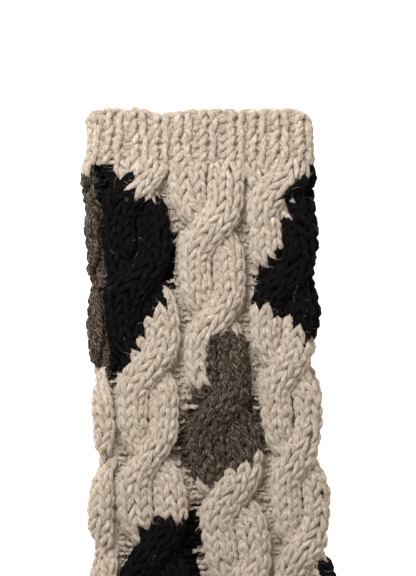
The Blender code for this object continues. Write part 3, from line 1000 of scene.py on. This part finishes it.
@dataclass
class NodeBench:
    """A node tree that is being put together, for shapes or for shaders."""

    tree: bpy.types.NodeTree

    @classmethod
    def group(cls, name: str, kind: str, inputs: Sequence, outputs: Sequence) -> NodeBench:
        """A new node group with its sockets.

        Args:
            name: the group's name.
            kind: Geometry or Shader.
            inputs: the name, kind and default of each input, the default None where it has none.
            outputs: the name and kind of each output.

        Returns:
            A bench with the group's tree.
        """
        tree = bpy.data.node_groups.new(name, f"{kind}NodeTree")
        for label, socket, default in inputs:
            made = tree.interface.new_socket(label, in_out="INPUT", socket_type=f"NodeSocket{socket}")
            if default is not None:
                made.default_value = default
        for label, socket in outputs:
            tree.interface.new_socket(label, in_out="OUTPUT", socket_type=f"NodeSocket{socket}")
        return cls(tree)

    def fill(self, node: bpy.types.Node, inputs: dict) -> None:
        """Sets or links a node's inputs.

        Args:
            node: the node.
            inputs: a value or an output socket for each input, by name or number.
        """
        for key, value in inputs.items():
            if isinstance(value, Socket):
                self.tree.links.new(value, node.inputs[key])
            else:
                node.inputs[key].default_value = value

    def add(self, kind: str, inputs: dict | None = None, **settings: object) -> bpy.types.Node:
        """A new node, with values or links for its inputs.

        Args:
            kind: the node's type.
            inputs: a value or an output socket for each input, by name or number.
            **settings: the node's own properties.

        Returns:
            The node.
        """
        node = self.tree.nodes.new(kind)
        for key, value in settings.items():
            setattr(node, key, value)
        self.fill(node, inputs or {})
        return node

    def output(self, kind: str, inputs: dict | None = None, **settings: object) -> Socket:
        """The first output of a new node, which add makes from the same arguments."""
        return self.add(kind, inputs, **settings).outputs[0]

    def math(self, operation: str, first: Value, second: Value = 0.0) -> Socket:
        """The result of one sum on two numbers."""
        return self.output("ShaderNodeMath", {0: first, 1: second}, operation=operation)

    def vector(self, operation: str, first: Value, second: Value | tuple) -> Socket:
        """The result of one sum on two vectors, or of a scaling by a number.

        Args:
            operation: which sum it is.
            first: the first vector.
            second: the second vector, or the number that scales the first.

        Returns:
            The vector, or the number that a dot product gives.
        """
        inputs = {0: first, 3 if operation == "SCALE" else 1: second}
        node = self.add("ShaderNodeVectorMath", inputs, operation=operation)
        return node.outputs["Value" if operation == "DOT_PRODUCT" else "Vector"]

    def named(self, name: str, kind: str = "FLOAT") -> Socket:
        """A geometry attribute, as a field."""
        return self.output("GeometryNodeInputNamedAttribute", {"Name": name}, data_type=kind)

    def kept(self, geometry: Socket, name: str, value: Socket, kind: str, on: str = "POINT") -> Socket:
        """A geometry with a field kept as an attribute.

        Args:
            geometry: the geometry.
            name: the attribute's name.
            value: the field.
            kind: the attribute's data type.
            on: the domain that it is kept on.

        Returns:
            The geometry with the attribute.
        """
        inputs = {"Geometry": geometry, "Name": name, "Value": value}
        return self.output("GeometryNodeStoreNamedAttribute", inputs, data_type=kind, domain=on)

    def moved(self, geometry: Socket, **way: Socket) -> Socket:
        """A geometry with its points moved, by an Offset or to a Position."""
        return self.output("GeometryNodeSetPosition", {"Geometry": geometry} | way)

    def random(self, seed: Socket, low: float, high: float) -> Socket:
        """A random number between two limits, as a field."""
        node = self.add("FunctionNodeRandomValue", {"Seed": seed, 2: low, 3: high}, data_type="FLOAT")
        return node.outputs[1]

    def drift(self, inputs: dict, dimensions: str) -> Socket:
        """A smooth random vector that is even about zero, from a noise with these inputs."""
        noise = self.add("ShaderNodeTexNoise", inputs, noise_dimensions=dimensions)
        return self.vector("SUBTRACT", noise.outputs["Color"], (0.5, 0.5, 0.5))

    def finished(self, geometry: Socket, finish: Socket) -> bpy.types.NodeTree:
        """The finished tree, once the geometry has its material and is the tree's output.

        Args:
            geometry: the geometry.
            finish: its material.

        Returns:
            The tree, with its output set.
        """
        dressed = self.output("GeometryNodeSetMaterial", {"Geometry": geometry, "Material": finish})
        self.add("NodeGroupOutput", {"Geometry": dressed})
        return self.tree


def grown(source: bpy.types.Object, tree: bpy.types.NodeTree, inputs: dict) -> None:
    """Runs a Geometry Nodes tree on an object and leaves the result as its plain mesh.

    Args:
        source: the object that carries the tree's input mesh.
        tree: the tree.
        inputs: the value of each of the tree's inputs, by name.
    """
    modifier = source.modifiers.new(tree.name, "NODES")
    modifier.node_group = tree
    for item in tree.interface.items_tree:
        if item.in_out == "INPUT" and item.name in inputs:
            modifier[item.identifier] = inputs[item.name]
    graph = bpy.context.evaluated_depsgraph_get()
    before = source.data
    source.data = bpy.data.meshes.new_from_object(source.evaluated_get(graph), depsgraph=graph)
    source.modifiers.remove(modifier)
    source.data.name = source.name
    bpy.data.meshes.remove(before)


def linked_object(name: str, data: bpy.types.ID) -> bpy.types.Object:
    """A new object in the scene, at the origin.

    Args:
        name: its name.
        data: its mesh, lamp or camera.

    Returns:
        The new object.
    """
    made = bpy.data.objects.new(name, data)
    bpy.context.scene.collection.objects.link(made)
    return made


@dataclass
class YarnSweep:
    """Sweeps a soft, slightly uneven yarn along its path."""

    wander: float = 0.00035
    wander_scale: float = 190.0
    uneven: float = 0.18
    uneven_scale: float = 330.0
    detail: float = 1.0

    def tree(self) -> bpy.types.NodeTree:
        """The Geometry Nodes tree, which keeps where each point is on the yarn.

        Returns:
            The tree, whose input is a mesh of bare edges from YarnPaths.
        """
        inputs = (
            ("Geometry", "Geometry", None),
            ("Sides", "Int", 5),
            ("Wander", "Float", self.wander),
            ("Uneven", "Float", self.uneven),
            ("Seed", "Float", 0.0),
            ("Finish", "Material", None),
        )
        bench = NodeBench.group("Yarn sweep", "Geometry", inputs, (("Geometry", "Geometry"),))
        given = bench.add("NodeGroupInput").outputs
        place = bench.output("GeometryNodeInputPosition")
        seeded = {"Vector": place, "W": given["Seed"], "Detail": self.detail}
        drift = bench.drift(seeded | {"Scale": self.wander_scale}, "4D")
        curve = bench.output("GeometryNodeMeshToCurve", {"Mesh": given["Geometry"]})
        curve = bench.moved(curve, Offset=bench.vector("SCALE", drift, given["Wander"]))
        along = bench.add("GeometryNodeSplineParameter").outputs["Length"]
        curve = bench.kept(curve, "along", along, "FLOAT")
        curve = bench.kept(curve, "run", bench.output("GeometryNodeInputTangent"), "FLOAT_VECTOR")
        seeded["Scale"] = self.uneven_scale
        swell = bench.output("ShaderNodeTexNoise", seeded, noise_dimensions="4D")
        swell = bench.math("MULTIPLY", bench.math("SUBTRACT", swell, 0.5), given["Uneven"])
        radius = bench.math("MULTIPLY", bench.named("yarn_radius"), bench.math("ADD", swell, 1.0))
        ring = {"Resolution": given["Sides"], "Radius": 1.0}
        circle = bench.output("GeometryNodeCurvePrimitiveCircle", ring)
        circle = bench.kept(circle, "turn", place, "FLOAT_VECTOR")
        swept = {"Curve": curve, "Profile Curve": circle, "Scale": radius}
        yarn = bench.output("GeometryNodeCurveToMesh", swept)
        yarn = bench.output("GeometryNodeSetShadeSmooth", {"Geometry": yarn})
        yarn = bench.output("GeometryNodeRealizeInstances", {"Geometry": yarn})
        return bench.finished(yarn, given["Finish"])


@dataclass(frozen=True)
class Fibre:
    """One kind of loose fibre: how many each square metre of yarn has, and how they lie."""

    density: float
    length: float = 0.0019
    width: float = 0.00013
    curl: float = 0.0030
    lie: float = 2.0
    stray: float = 0.9
    rise: float = 0.35
    joints: int = 2

    def inputs(self) -> dict:
        """The fibres' tree's inputs, by name."""
        return {label.capitalize(): value for label, value in asdict(self).items()}


FUZZ = Fibre(400000.0)
UNDER_FUZZ = Fibre(60000.0)
LONG_HAIR = Fibre(85000.0, length=0.0045, width=0.00011, curl=0.010, lie=1.0, rise=0.8, joints=4)
STRAY = Fibre(3000.0, length=0.010, width=0.000035, curl=0.013, lie=1.0, rise=0.2, joints=12)


@dataclass
class LooseFibres:
    """Sets short, curling fibres on the yarn, which give the wool its haze."""

    shortest: float = 0.4
    longest: float = 1.7
    tones: float = 5.0
    curl_scale: float = 300.0
    floor: float = 0.0001
    ceiling: float = 0.0220
    least_facing: float = 0.1
    merged: float = 0.000001
    aim_seed: float = 7.0

    def ribbon(self, bench: NodeBench, given: bpy.types.NodeOutputs) -> Socket:
        """One straight fibre from the origin along X, a flat strip that tapers to a point.

        Args:
            bench: the tree that it is part of.
            given: the tree's inputs.

        Returns:
            The strip's geometry.
        """
        grid = {"Size X": 1.0, "Size Y": 1.0, "Vertices X": given["Joints"], "Vertices Y": 2}
        strip = bench.output("GeometryNodeMeshGrid", grid)
        place = bench.output("GeometryNodeInputPosition")
        parts = bench.add("ShaderNodeSeparateXYZ", {0: place}).outputs
        share = bench.math("ADD", parts[0], 0.5)
        strip = bench.kept(strip, "tip", share, "FLOAT")
        taper = bench.math("SUBTRACT", 1.0, share)
        across = bench.math("MULTIPLY", bench.math("MULTIPLY", parts[1], taper), given["Width"])
        end = bench.math("MULTIPLY", share, given["Length"])
        spot = bench.output("ShaderNodeCombineXYZ", {0: end, 1: across, 2: 0.0})
        strip = bench.moved(strip, Position=spot)
        return bench.output("GeometryNodeMergeByDistance", {"Geometry": strip, "Distance": self.merged})

    def aims(self, bench: NodeBench, given: bpy.types.NodeOutputs, normal: Socket) -> Socket:
        """Which way each fibre turns: along its yarn, a little up, and a little astray.

        Args:
            bench: the tree that it is part of.
            given: the tree's inputs.
            normal: the way out of the yarn.

        Returns:
            The fibres' rotations, as a field.
        """
        way = bench.math("MULTIPLY", bench.random(given["Seed"], -1.0, 1.0), given["Lie"])
        seed = bench.math("ADD", given["Seed"], self.aim_seed)
        limits = {"Min": (-1, -1, -1), "Max": (1, 1, 1), "Seed": seed}
        aim = bench.output("FunctionNodeRandomValue", limits, data_type="FLOAT_VECTOR")
        aim = bench.vector("SCALE", aim, given["Stray"])
        aim = bench.vector("ADD", aim, bench.vector("SCALE", bench.named("run", "FLOAT_VECTOR"), way))
        aim = bench.vector("ADD", aim, bench.vector("SCALE", normal, given["Rise"]))
        turned = bench.output("FunctionNodeAlignRotationToVector", {"Vector": aim}, axis="X")
        faced = {"Rotation": turned, "Vector": bench.named("outward", "FLOAT_VECTOR")}
        return bench.output("FunctionNodeAlignRotationToVector", faced, axis="Z", pivot_axis="X")

    def tree(self) -> bpy.types.NodeTree:
        """The Geometry Nodes tree, whose input is a mesh of yarn.

        Returns:
            The tree.
        """
        inputs = [("Geometry", "Geometry", None)]
        for label, value in FUZZ.inputs().items():
            inputs.append((label, "Int" if isinstance(value, int) else "Float", value))
        inputs += [("Seed", "Int", 0), ("Finish", "Material", None)]
        bench = NodeBench.group("Loose fibres", "Geometry", inputs, (("Geometry", "Geometry"),))
        given = bench.add("NodeGroupInput").outputs
        outward = bench.named("outward", "FLOAT_VECTOR")
        facing = bench.vector("DOT_PRODUCT", bench.output("GeometryNodeInputNormal"), outward)
        limit = {0: facing, 1: self.least_facing}
        shown = bench.output("FunctionNodeCompare", limit, data_type="FLOAT", operation="GREATER_THAN")
        roots = {"Mesh": given["Geometry"], "Selection": shown}
        roots |= {label: given[label] for label in ("Density", "Seed")}
        spread = bench.add("GeometryNodeDistributePointsOnFaces", roots).outputs
        size = bench.random(given["Seed"], self.shortest, self.longest)
        set_out = {
            "Points": spread["Points"],
            "Instance": self.ribbon(bench, given),
            "Rotation": self.aims(bench, given, spread["Normal"]),
            "Scale": bench.output("ShaderNodeCombineXYZ", {0: size, 1: 1.0, 2: 1.0}),
        }
        fibres = bench.output("GeometryNodeInstanceOnPoints", set_out)
        shade = bench.random(given["Seed"], -self.tones, self.tones)
        fibres = bench.kept(fibres, "tone", shade, "FLOAT", "INSTANCE")
        fibres = bench.output("GeometryNodeRealizeInstances", {"Geometry": fibres})
        place = bench.output("GeometryNodeInputPosition")
        drift = bench.drift({"Vector": place, "Scale": self.curl_scale}, "3D")
        bend = bench.math("MULTIPLY", bench.named("tip"), given["Curl"])
        spot = bench.vector("ADD", place, bench.vector("SCALE", drift, bend))
        spot = bench.vector("MAXIMUM", spot, (-1, -1, self.floor))
        spot = bench.vector("MINIMUM", spot, (1, 1, self.ceiling))
        return bench.finished(bench.moved(fibres, Position=spot), given["Finish"])


@dataclass(frozen=True)
class SpunFibres:
    """The pattern that all the wools share: fibres that lie along a lightly twisted yarn."""

    twist: float = 260.0
    stretch: float = 260.0
    shuffle: float = 5.0
    streak_scale: float = 2.3
    detail: float = 4.0
    roughness: float = 0.75
    middle: float = 0.50
    darkest: float = 0.39
    lightest: float = 0.61

    def tree(self) -> bpy.types.NodeTree:
        """The shader group, which puts out the wool's colour and the height of its fibres.

        Returns:
            The group.
        """
        colours = (("Base", (0.5, 0.5, 0.5, 1)), ("Dark", (0.3, 0.3, 0.3, 1)), ("Light", (0.7, 0.7, 0.7, 1)))
        numbers = (
            ("Tone", 0.04),
            ("Twist", self.twist),
            ("Stretch", self.stretch),
            ("Shuffle", self.shuffle),
            ("Streak Scale", self.streak_scale),
            ("Darkest", self.darkest),
            ("Lightest", self.lightest),
        )
        inputs = [(label, "Color", value) for label, value in colours]
        inputs += [(label, "Float", value) for label, value in numbers]
        outputs = (("Colour", "Color"), ("Height", "Float"))
        bench = NodeBench.group("Spun fibres", "Shader", inputs, outputs)
        given = bench.add("NodeGroupInput").outputs
        turn = bench.add("ShaderNodeAttribute", attribute_name="turn").outputs["Vector"]
        along = bench.add("ShaderNodeAttribute", attribute_name="along").outputs["Fac"]
        tone = bench.add("ShaderNodeAttribute", attribute_name="tone").outputs["Fac"]
        twisted = {"Vector": turn, "Angle": bench.math("MULTIPLY", along, given["Twist"])}
        spot = bench.output("ShaderNodeVectorRotate", twisted, rotation_type="Z_AXIS")
        run = bench.math("MULTIPLY", along, given["Stretch"])
        spot = bench.vector("ADD", spot, bench.output("ShaderNodeCombineXYZ", {2: run}))
        shift = bench.math("MULTIPLY", tone, given["Shuffle"])
        spot = bench.vector("ADD", spot, bench.output("ShaderNodeCombineXYZ", {0: shift}))
        pattern = {"Vector": spot, "Scale": given["Streak Scale"]}
        pattern |= {"Detail": self.detail, "Roughness": self.roughness}
        streak = bench.output("ShaderNodeTexNoise", pattern)
        colour = given["Base"]
        for label, limit in (("Dark", "Darkest"), ("Light", "Lightest")):
            mask = bench.output("ShaderNodeMapRange", {0: streak, 1: self.middle, 2: given[limit]})
            mixed = bench.add("ShaderNodeMix", data_type="RGBA")
            bench.fill(mixed, {0: mask, 6: colour, 7: given[label]})
            colour = mixed.outputs[2]
        bright = bench.math("ADD", bench.math("MULTIPLY", tone, given["Tone"]), 1.0)
        colour = bench.vector("SCALE", colour, bright)
        bench.add("NodeGroupOutput", {"Colour": colour, "Height": streak})
        return bench.tree


@dataclass(frozen=True)
class WoolFinish:
    """One wool's colours, and how its fibres catch the light."""

    wool: Wool
    base: Colour
    dark: Colour
    light: Colour
    tone: float = 0.04
    sheen: float = 0.5
    sheen_roughness: float = 0.6
    sheen_tint: Colour = (1.0, 0.82, 0.62)
    bump: float = 0.6
    bump_depth: float = 0.0005
    roughness: float = 0.95
    gloss: float = 0.06

    def material(self, fibres: bpy.types.NodeTree) -> bpy.types.Material:
        """The material, with the shared fibre pattern in it.

        Args:
            fibres: the shader group from SpunFibres.

        Returns:
            The new material.
        """
        made = bpy.data.materials.new(self.wool.value)
        made.use_nodes = True
        made.diffuse_color = (*self.base, 1)
        bench = NodeBench(made.node_tree)
        own = {"Base": (*self.base, 1), "Dark": (*self.dark, 1), "Light": (*self.light, 1)}
        pattern = bench.add("ShaderNodeGroup", node_tree=fibres)
        bench.fill(pattern, own | {"Tone": self.tone})
        relief = {"Height": pattern.outputs["Height"], "Distance": self.bump_depth, "Strength": self.bump}
        surface = {
            "Base Color": pattern.outputs["Colour"],
            "Normal": bench.output("ShaderNodeBump", relief),
            "Roughness": self.roughness,
            "Specular IOR Level": self.gloss,
            "Sheen Weight": self.sheen,
            "Sheen Roughness": self.sheen_roughness,
            "Sheen Tint": (*self.sheen_tint, 1),
        }
        bench.fill(made.node_tree.nodes["Principled BSDF"], surface)
        return made


FINISHES = (
    WoolFinish(Wool.NATURAL, (0.478, 0.396, 0.318), (0.29, 0.22, 0.155), (0.64, 0.565, 0.485)),
    WoolFinish(
        Wool.BROWN,
        (0.032, 0.0231, 0.0157),
        (0.008, 0.0057, 0.004),
        (0.22, 0.168, 0.126),
        tone=0.14,
        sheen=0.08,
    ),
    WoolFinish(
        Wool.BLACK, (0.0042, 0.0038, 0.0036), (0.002, 0.002, 0.002), (0.010, 0.009, 0.009), sheen=0.0
    ),
)


@dataclass
class Ground:
    """The thin closed cloth under the yarn, which fills the gaps between the stitches."""

    tube: LaidTube
    cables: RopeCables
    patches: Patches
    around: int = 64
    body_rows: int = 69
    cuff_rows: int = 5
    relief: float = 0.92
    outside: float = 0.0048
    outside_under: float = 0.0018
    cuff_outside: float = 0.0007
    cuff_top: float = 0.0023
    inside: float = 0.0050
    grain: float = 500.0

    def outer_lift(self, arc: Array, down: Array, cabled: bool) -> Array:
        """The height of the ground's outside, under the yarn.

        Args:
            arc: arc lengths round the section.
            down: distances from the top cuff's edge.
            cabled: whether it lies under the cables, or under a cuff.

        Returns:
            The height of each point out of the wall.
        """
        above = self.tube.share_above(arc, down)
        shown = self.outside if cabled else self.cuff_outside
        sunk = shown * above + self.outside_under * (1 - above)
        if not cabled:
            return self.tube.pressed(np.zeros_like(arc), self.cuff_top, above) - sunk
        lift = self.relief * self.cables.ground_lift(arc, down)
        return self.cables.settled(lift, arc, down) - sunk

    def faces(self, rows: int) -> Array:
        """The four corners of each face: the outside's, the inside's and those of the two ends.

        Args:
            rows: the number of faces from end to end.

        Returns:
            (faces, 4) the number of each corner's point.
        """
        row = np.arange(rows)[:, None]
        column = np.arange(self.around)[None, :]
        following = (column + 1) % self.around
        corners = [row * self.around + column, row * self.around + following]
        corners += [corners[1] + self.around, corners[0] + self.around]
        outside = np.stack(corners, -1).reshape(-1, 4)
        deep = (rows + 1) * self.around
        ends = []
        for first, turned in ((0, 1), (rows * self.around, -1)):
            ring, beside = first + column[0], first + following[0]
            cap = np.stack([ring, ring + deep, beside + deep, beside], -1)
            ends.append(cap[:, ::turned])
        return np.concatenate([outside, outside[:, ::-1] + deep, *ends])

    def wools(self, arcs: Array, downs: Array) -> Array:
        """The index in Wool of each face, in the order of faces.

        Args:
            arcs: the arc lengths of the outside's points.
            downs: their distances from the top cuff's edge.

        Returns:
            One index for each face.
        """
        arc, down = ((values[:-1] + values[1:]) / 2 for values in (arcs, downs))
        girth = self.tube.girth(down)
        wool = self.patches.wool_at(arc + girth / self.around / 2, down, girth)
        return np.concatenate([wool.ravel(), wool.ravel(), wool[0], wool[-1]])

    def build(self, name: str, span: tuple[float, float], side: Side, cabled: bool) -> bpy.types.Object:
        """One closed tube of ground.

        Args:
            name: the piece's name.
            span: how far down its upper and its lower end lie.
            side: which warmer it belongs to.
            cabled: whether it lies under the cables, or under a cuff.

        Returns:
            The new object, without its materials.
        """
        rows = self.body_rows if cabled else self.cuff_rows
        downs = np.linspace(*span, rows + 1)[:, None] + np.zeros((1, self.around))
        arcs = (np.arange(self.around) / self.around - 0.5)[None, :] * self.tube.girth(downs)
        outer, _ = self.tube.place(arcs, downs, self.outer_lift(arcs, downs, cabled))
        inner, _ = self.tube.place(arcs, downs, np.full(arcs.shape, -self.inside))
        points = np.concatenate([outer.reshape(-1, 3), inner.reshape(-1, 3)])
        points = points * np.array([side.value, 1, 1])
        mesh = bpy.data.meshes.new(name)
        faces = self.faces(rows)
        if side is Side.LEFT:
            faces = faces[:, ::-1]
        mesh.from_pydata(points.tolist(), [], faces.tolist())
        wools = self.wools(arcs, downs) * cabled
        mesh.polygons.foreach_set("material_index", wools.astype(np.int32))
        grain = mesh.attributes.new("turn", "FLOAT_VECTOR", "POINT")
        grain.data.foreach_set("vector", (points * self.grain).ravel())
        mesh.shade_smooth()
        mesh.update()
        return linked_object(name, mesh)


# Numbers that keep the two warmers' small differences apart.
SEEDS = {Side.LEFT: 100, Side.RIGHT: 500}


@dataclass
class Warmer:
    """One knitted arm warmer: its yarn, ground and fibres, each dressed in its wool."""

    side: Side
    tube: LaidTube
    cables: RopeCables
    patches: Patches
    finishes: dict[Wool, bpy.types.Material]
    sweep: bpy.types.NodeTree
    fibres: bpy.types.NodeTree
    shown_loop: LoopShape = LoopShape()
    under_steps: int = 6
    shown_sides: int = 5
    under_sides: int = 3
    least_above: float = 0.05
    cuff_seed: int = 50
    rim: float = 0.0012

    @property
    def name(self) -> str:
        """The warmer's name in its pieces' names."""
        return self.side.name.lower()

    @property
    def seed(self) -> int:
        """The number that the warmer's small differences start from."""
        return SEEDS[self.side]

    def declared(self, piece: bpy.types.Object) -> bpy.types.Object:
        """Declares a finished piece, and logs it with how many faces it has.

        Args:
            piece: the piece.

        Returns:
            The same piece.
        """
        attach(piece, "root")
        LOG.info("%s: %d faces", piece.name, len(piece.data.polygons))
        return piece

    def layers(self, loop: LoopShape) -> tuple[tuple[str, LoopShape, int], ...]:
        """What the front and the underside are knitted with: place, loop and the yarn's sides."""
        under = replace(loop, steps=self.under_steps)
        return ("front", loop, self.shown_sides), ("under", under, self.under_sides)

    def swept(self, name: str, paths: YarnPaths, wool: Wool, sides: int) -> bpy.types.Object:
        """A piece of yarn, swept along its paths.

        Args:
            name: the piece's name, without the warmer's.
            paths: the yarn's runs.
            wool: what it is spun from.
            sides: how many sides the yarn's section has.

        Returns:
            The piece.
        """
        piece = linked_object(f"{self.name}_{name}", paths.mesh(name, self.side.value))
        inputs = {"Sides": sides, "Seed": float(self.seed), "Finish": self.finishes[wool]}
        grown(piece, self.sweep, inputs)
        return self.declared(piece)

    def lies_on(self, loops: Loops, place: str) -> Array:
        """Which stitches lie on the front, or underneath."""
        above = self.tube.share_above(*loops.middles()) > self.least_above
        return above == (place == "front")

    def is_of(self, loops: Loops, wool: Wool) -> Array:
        """Which stitches are of a wool. A lone one takes the wool of those above and below.

        Args:
            loops: rows of stitches.
            wool: the wool.

        Returns:
            True for each stitch of it.
        """
        arc, down = loops.middles()
        found = self.patches.wool_at(arc, down, self.tube.girth(down))
        beside = found[2:]
        found[1:-1] = np.where(found[:-2] == beside, beside, found[1:-1])
        return found == list(Wool).index(wool)

    def body_yarn(self) -> dict[tuple[str, Wool], bpy.types.Object]:
        """The cable body's yarn: a piece for each wool, on the front and underneath.

        Returns:
            The pieces, by front or under and by their wool.
        """
        body = CableBody(self.tube, self.cables)
        pieces = {}
        for place, loop, sides in self.layers(self.shown_loop):
            runs = body.all_loops(loop, self.seed)
            for wool in Wool:
                paths = YarnPaths()
                for loops in runs:
                    chosen = self.lies_on(loops, place) & self.is_of(loops, wool)
                    paths.add(self.tube, loops, chosen)
                name = f"body_{place}_{wool.name.lower()}"
                pieces[place, wool] = self.swept(name, paths, wool, sides)
        return pieces

    def cuff_yarn(self, cuff: RibCuff, name: str) -> bpy.types.Object:
        """A cuff's yarn, with its edge.

        Args:
            cuff: the cuff.
            name: the piece's name, without the warmer's.

        Returns:
            The piece.
        """
        paths = YarnPaths()
        for place, loop, _ in self.layers(RIB_LOOP):
            for loops in cuff.all_loops(loop, self.seed + self.cuff_seed):
                paths.add(self.tube, loops, self.lies_on(loops, place))
        return self.swept(name, paths, Wool.NATURAL, self.shown_sides)

    def haze(self, name: str, yarn: bpy.types.Object, wool: Wool, fibre: Fibre) -> bpy.types.Object:
        """Loose fibres on a piece of yarn.

        Args:
            name: the fibres' name, without the warmer's.
            yarn: the piece that they lie on.
            wool: what they are of.
            fibre: their kind.

        Returns:
            The piece of fibres.
        """
        piece = linked_object(f"{self.name}_{name}", yarn.data.copy())
        inputs = {"Finish": self.finishes[wool], "Seed": self.seed} | fibre.inputs()
        grown(piece, self.fibres, inputs)
        return self.declared(piece)

    def ground(self, node: str, span: tuple[float, float], cabled: bool) -> bpy.types.Object:
        """The ground of one node, which stands for it.

        Args:
            node: the node's name, without the warmer's.
            span: how far down its upper and its lower end lie.
            cabled: whether it lies under the cables, or under a cuff.

        Returns:
            The piece.
        """
        name = f"{self.name}_{node}"
        ground = Ground(self.tube, self.cables, self.patches)
        piece = ground.build(f"{name}_ground", span, self.side, cabled)
        for wool in Wool:
            piece.data.materials.append(self.finishes[wool])
        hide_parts(name)
        return self.declared(piece)

    def body_haze(self, yarn: dict[tuple[str, Wool], bpy.types.Object]) -> list[bpy.types.Object]:
        """The fibres on the cable body: short ones all over, long ones and strays on the front.

        Args:
            yarn: the body's pieces of yarn, as body_yarn returns them.

        Returns:
            The pieces of fibres, in the order that they are made.
        """
        kinds = (("front", "front_fibres", FUZZ), ("under", "under_fibres", UNDER_FUZZ))
        loose = []
        for place, name, fibre in (*kinds, ("front", "long_fibres", LONG_HAIR)):
            for wool in Wool:
                piece = self.haze(f"{name}_{wool.name.lower()}", yarn[place, wool], wool, fibre)
                loose.append(piece)
        loose.append(self.haze("stray_fibres", yarn["front", Wool.BLACK], Wool.NATURAL, STRAY))
        return loose

    def build(self) -> None:
        """Builds the whole warmer, each piece declared as it is made."""
        tube = self.tube
        first, last = tube.cuff, tube.length - tube.cuff
        gap = tube.seam_gap / 2
        girth = float(tube.girth(np.array(tube.length / 2)))
        yarn = self.body_yarn()
        pieces = [*yarn.values(), *self.body_haze(yarn)]
        body = self.ground("cable_body", (first + gap, last - gap), True)
        top = ("top_cuff", True, (self.rim, first - gap))
        bottom = ("bottom_cuff", False, (last + gap, tube.length - self.rim))
        for node, at_top, span in (top, bottom):
            cuff = self.cuff_yarn(RibCuff(tube, at_top), f"{node}_yarn")
            fibres = self.haze(f"{node}_fibres", cuff, Wool.NATURAL, FUZZ)
            ground = self.ground(node, span, False)


@dataclass
class Studio:
    """A plain white table, soft light and a camera that looks straight down."""

    table_size: float = 6.0
    table_drop: float = 0.0006
    table_glow: float = 1.15
    table_tone: float = 0.8
    surround: float = 0.51
    surround_colour: Colour = (1.0, 0.93, 0.86)
    lamp_power: float = 3.4
    lamp_colour: Colour = (0.96, 1.0, 1.05)
    lamp_size: float = 0.30
    lamp_place: tuple[float, float, float] = (-0.24, 0.40, 0.42)
    camera_place: tuple[float, float, float] = (-0.07227, 0.1062, 1.2115)
    lens: float = 182.9
    sensor: float = 36.0

    def table(self) -> None:
        """The white table, which glows evenly as a light table does."""
        half = self.table_size / 2
        mesh = bpy.data.meshes.new("white_table")
        corners = [(-half, -half), (half, -half), (half, half), (-half, half)]
        mesh.from_pydata([(x, y, -self.table_drop) for x, y in corners], [], [(0, 1, 2, 3)])
        finish = bpy.data.materials.new("white_table")
        finish.use_nodes = True
        surface = {
            "Base Color": (self.table_tone, self.table_tone, self.table_tone, 1),
            "Roughness": 1.0,
            "Specular IOR Level": 0.0,
            "Emission Color": (1, 1, 1, 1),
            "Emission Strength": self.table_glow,
        }
        NodeBench(finish.node_tree).fill(finish.node_tree.nodes["Principled BSDF"], surface)
        mesh.materials.append(finish)
        linked_object("white_table", mesh)

    def light(self) -> None:
        """An even white surround and one large soft lamp."""
        world = bpy.data.worlds.new("surround")
        world.use_nodes = True
        sky = {"Color": (*self.surround_colour, 1), "Strength": self.surround}
        NodeBench(world.node_tree).fill(world.node_tree.nodes["Background"], sky)
        bpy.context.scene.world = world
        data = bpy.data.lights.new("soft_lamp", "AREA")
        data.shape = "DISK"
        data.size = self.lamp_size
        data.energy = self.lamp_power
        data.color = self.lamp_colour
        lamp = linked_object("soft_lamp", data)
        lamp.location = self.lamp_place
        aim = Vector(self.camera_place) * Vector((1, 1, 0)) - lamp.location
        lamp.rotation_euler = aim.to_track_quat("-Z", "Y").to_euler()
        lamp.visible_camera = False

    def camera(self) -> None:
        """The camera, level with the table."""
        data = bpy.data.cameras.new("camera")
        data.lens = self.lens
        data.sensor_width = self.sensor
        camera = linked_object("camera", data)
        camera.location = self.camera_place
        bpy.context.scene.camera = camera
        bpy.context.scene.view_settings.view_transform = "Standard"

    def build(self) -> None:
        """Sets everything up."""
        self.table()
        self.light()
        self.camera()


def main() -> None:
    """Builds the pair and its studio, and logs how many faces each piece has."""
    logging.basicConfig(level=logging.INFO, format="%(message)s")
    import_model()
    fibres = SpunFibres().tree()
    finishes = {finish.wool: finish.material(fibres) for finish in FINISHES}
    tube = LaidTube()
    shared = (tube, RopeCables(tube), Patches(), finishes, YarnSweep().tree(), LooseFibres().tree())
    for side in Side:
        Warmer(side, *shared).build()
    Studio().build()


if __name__ == "__main__":
    main()
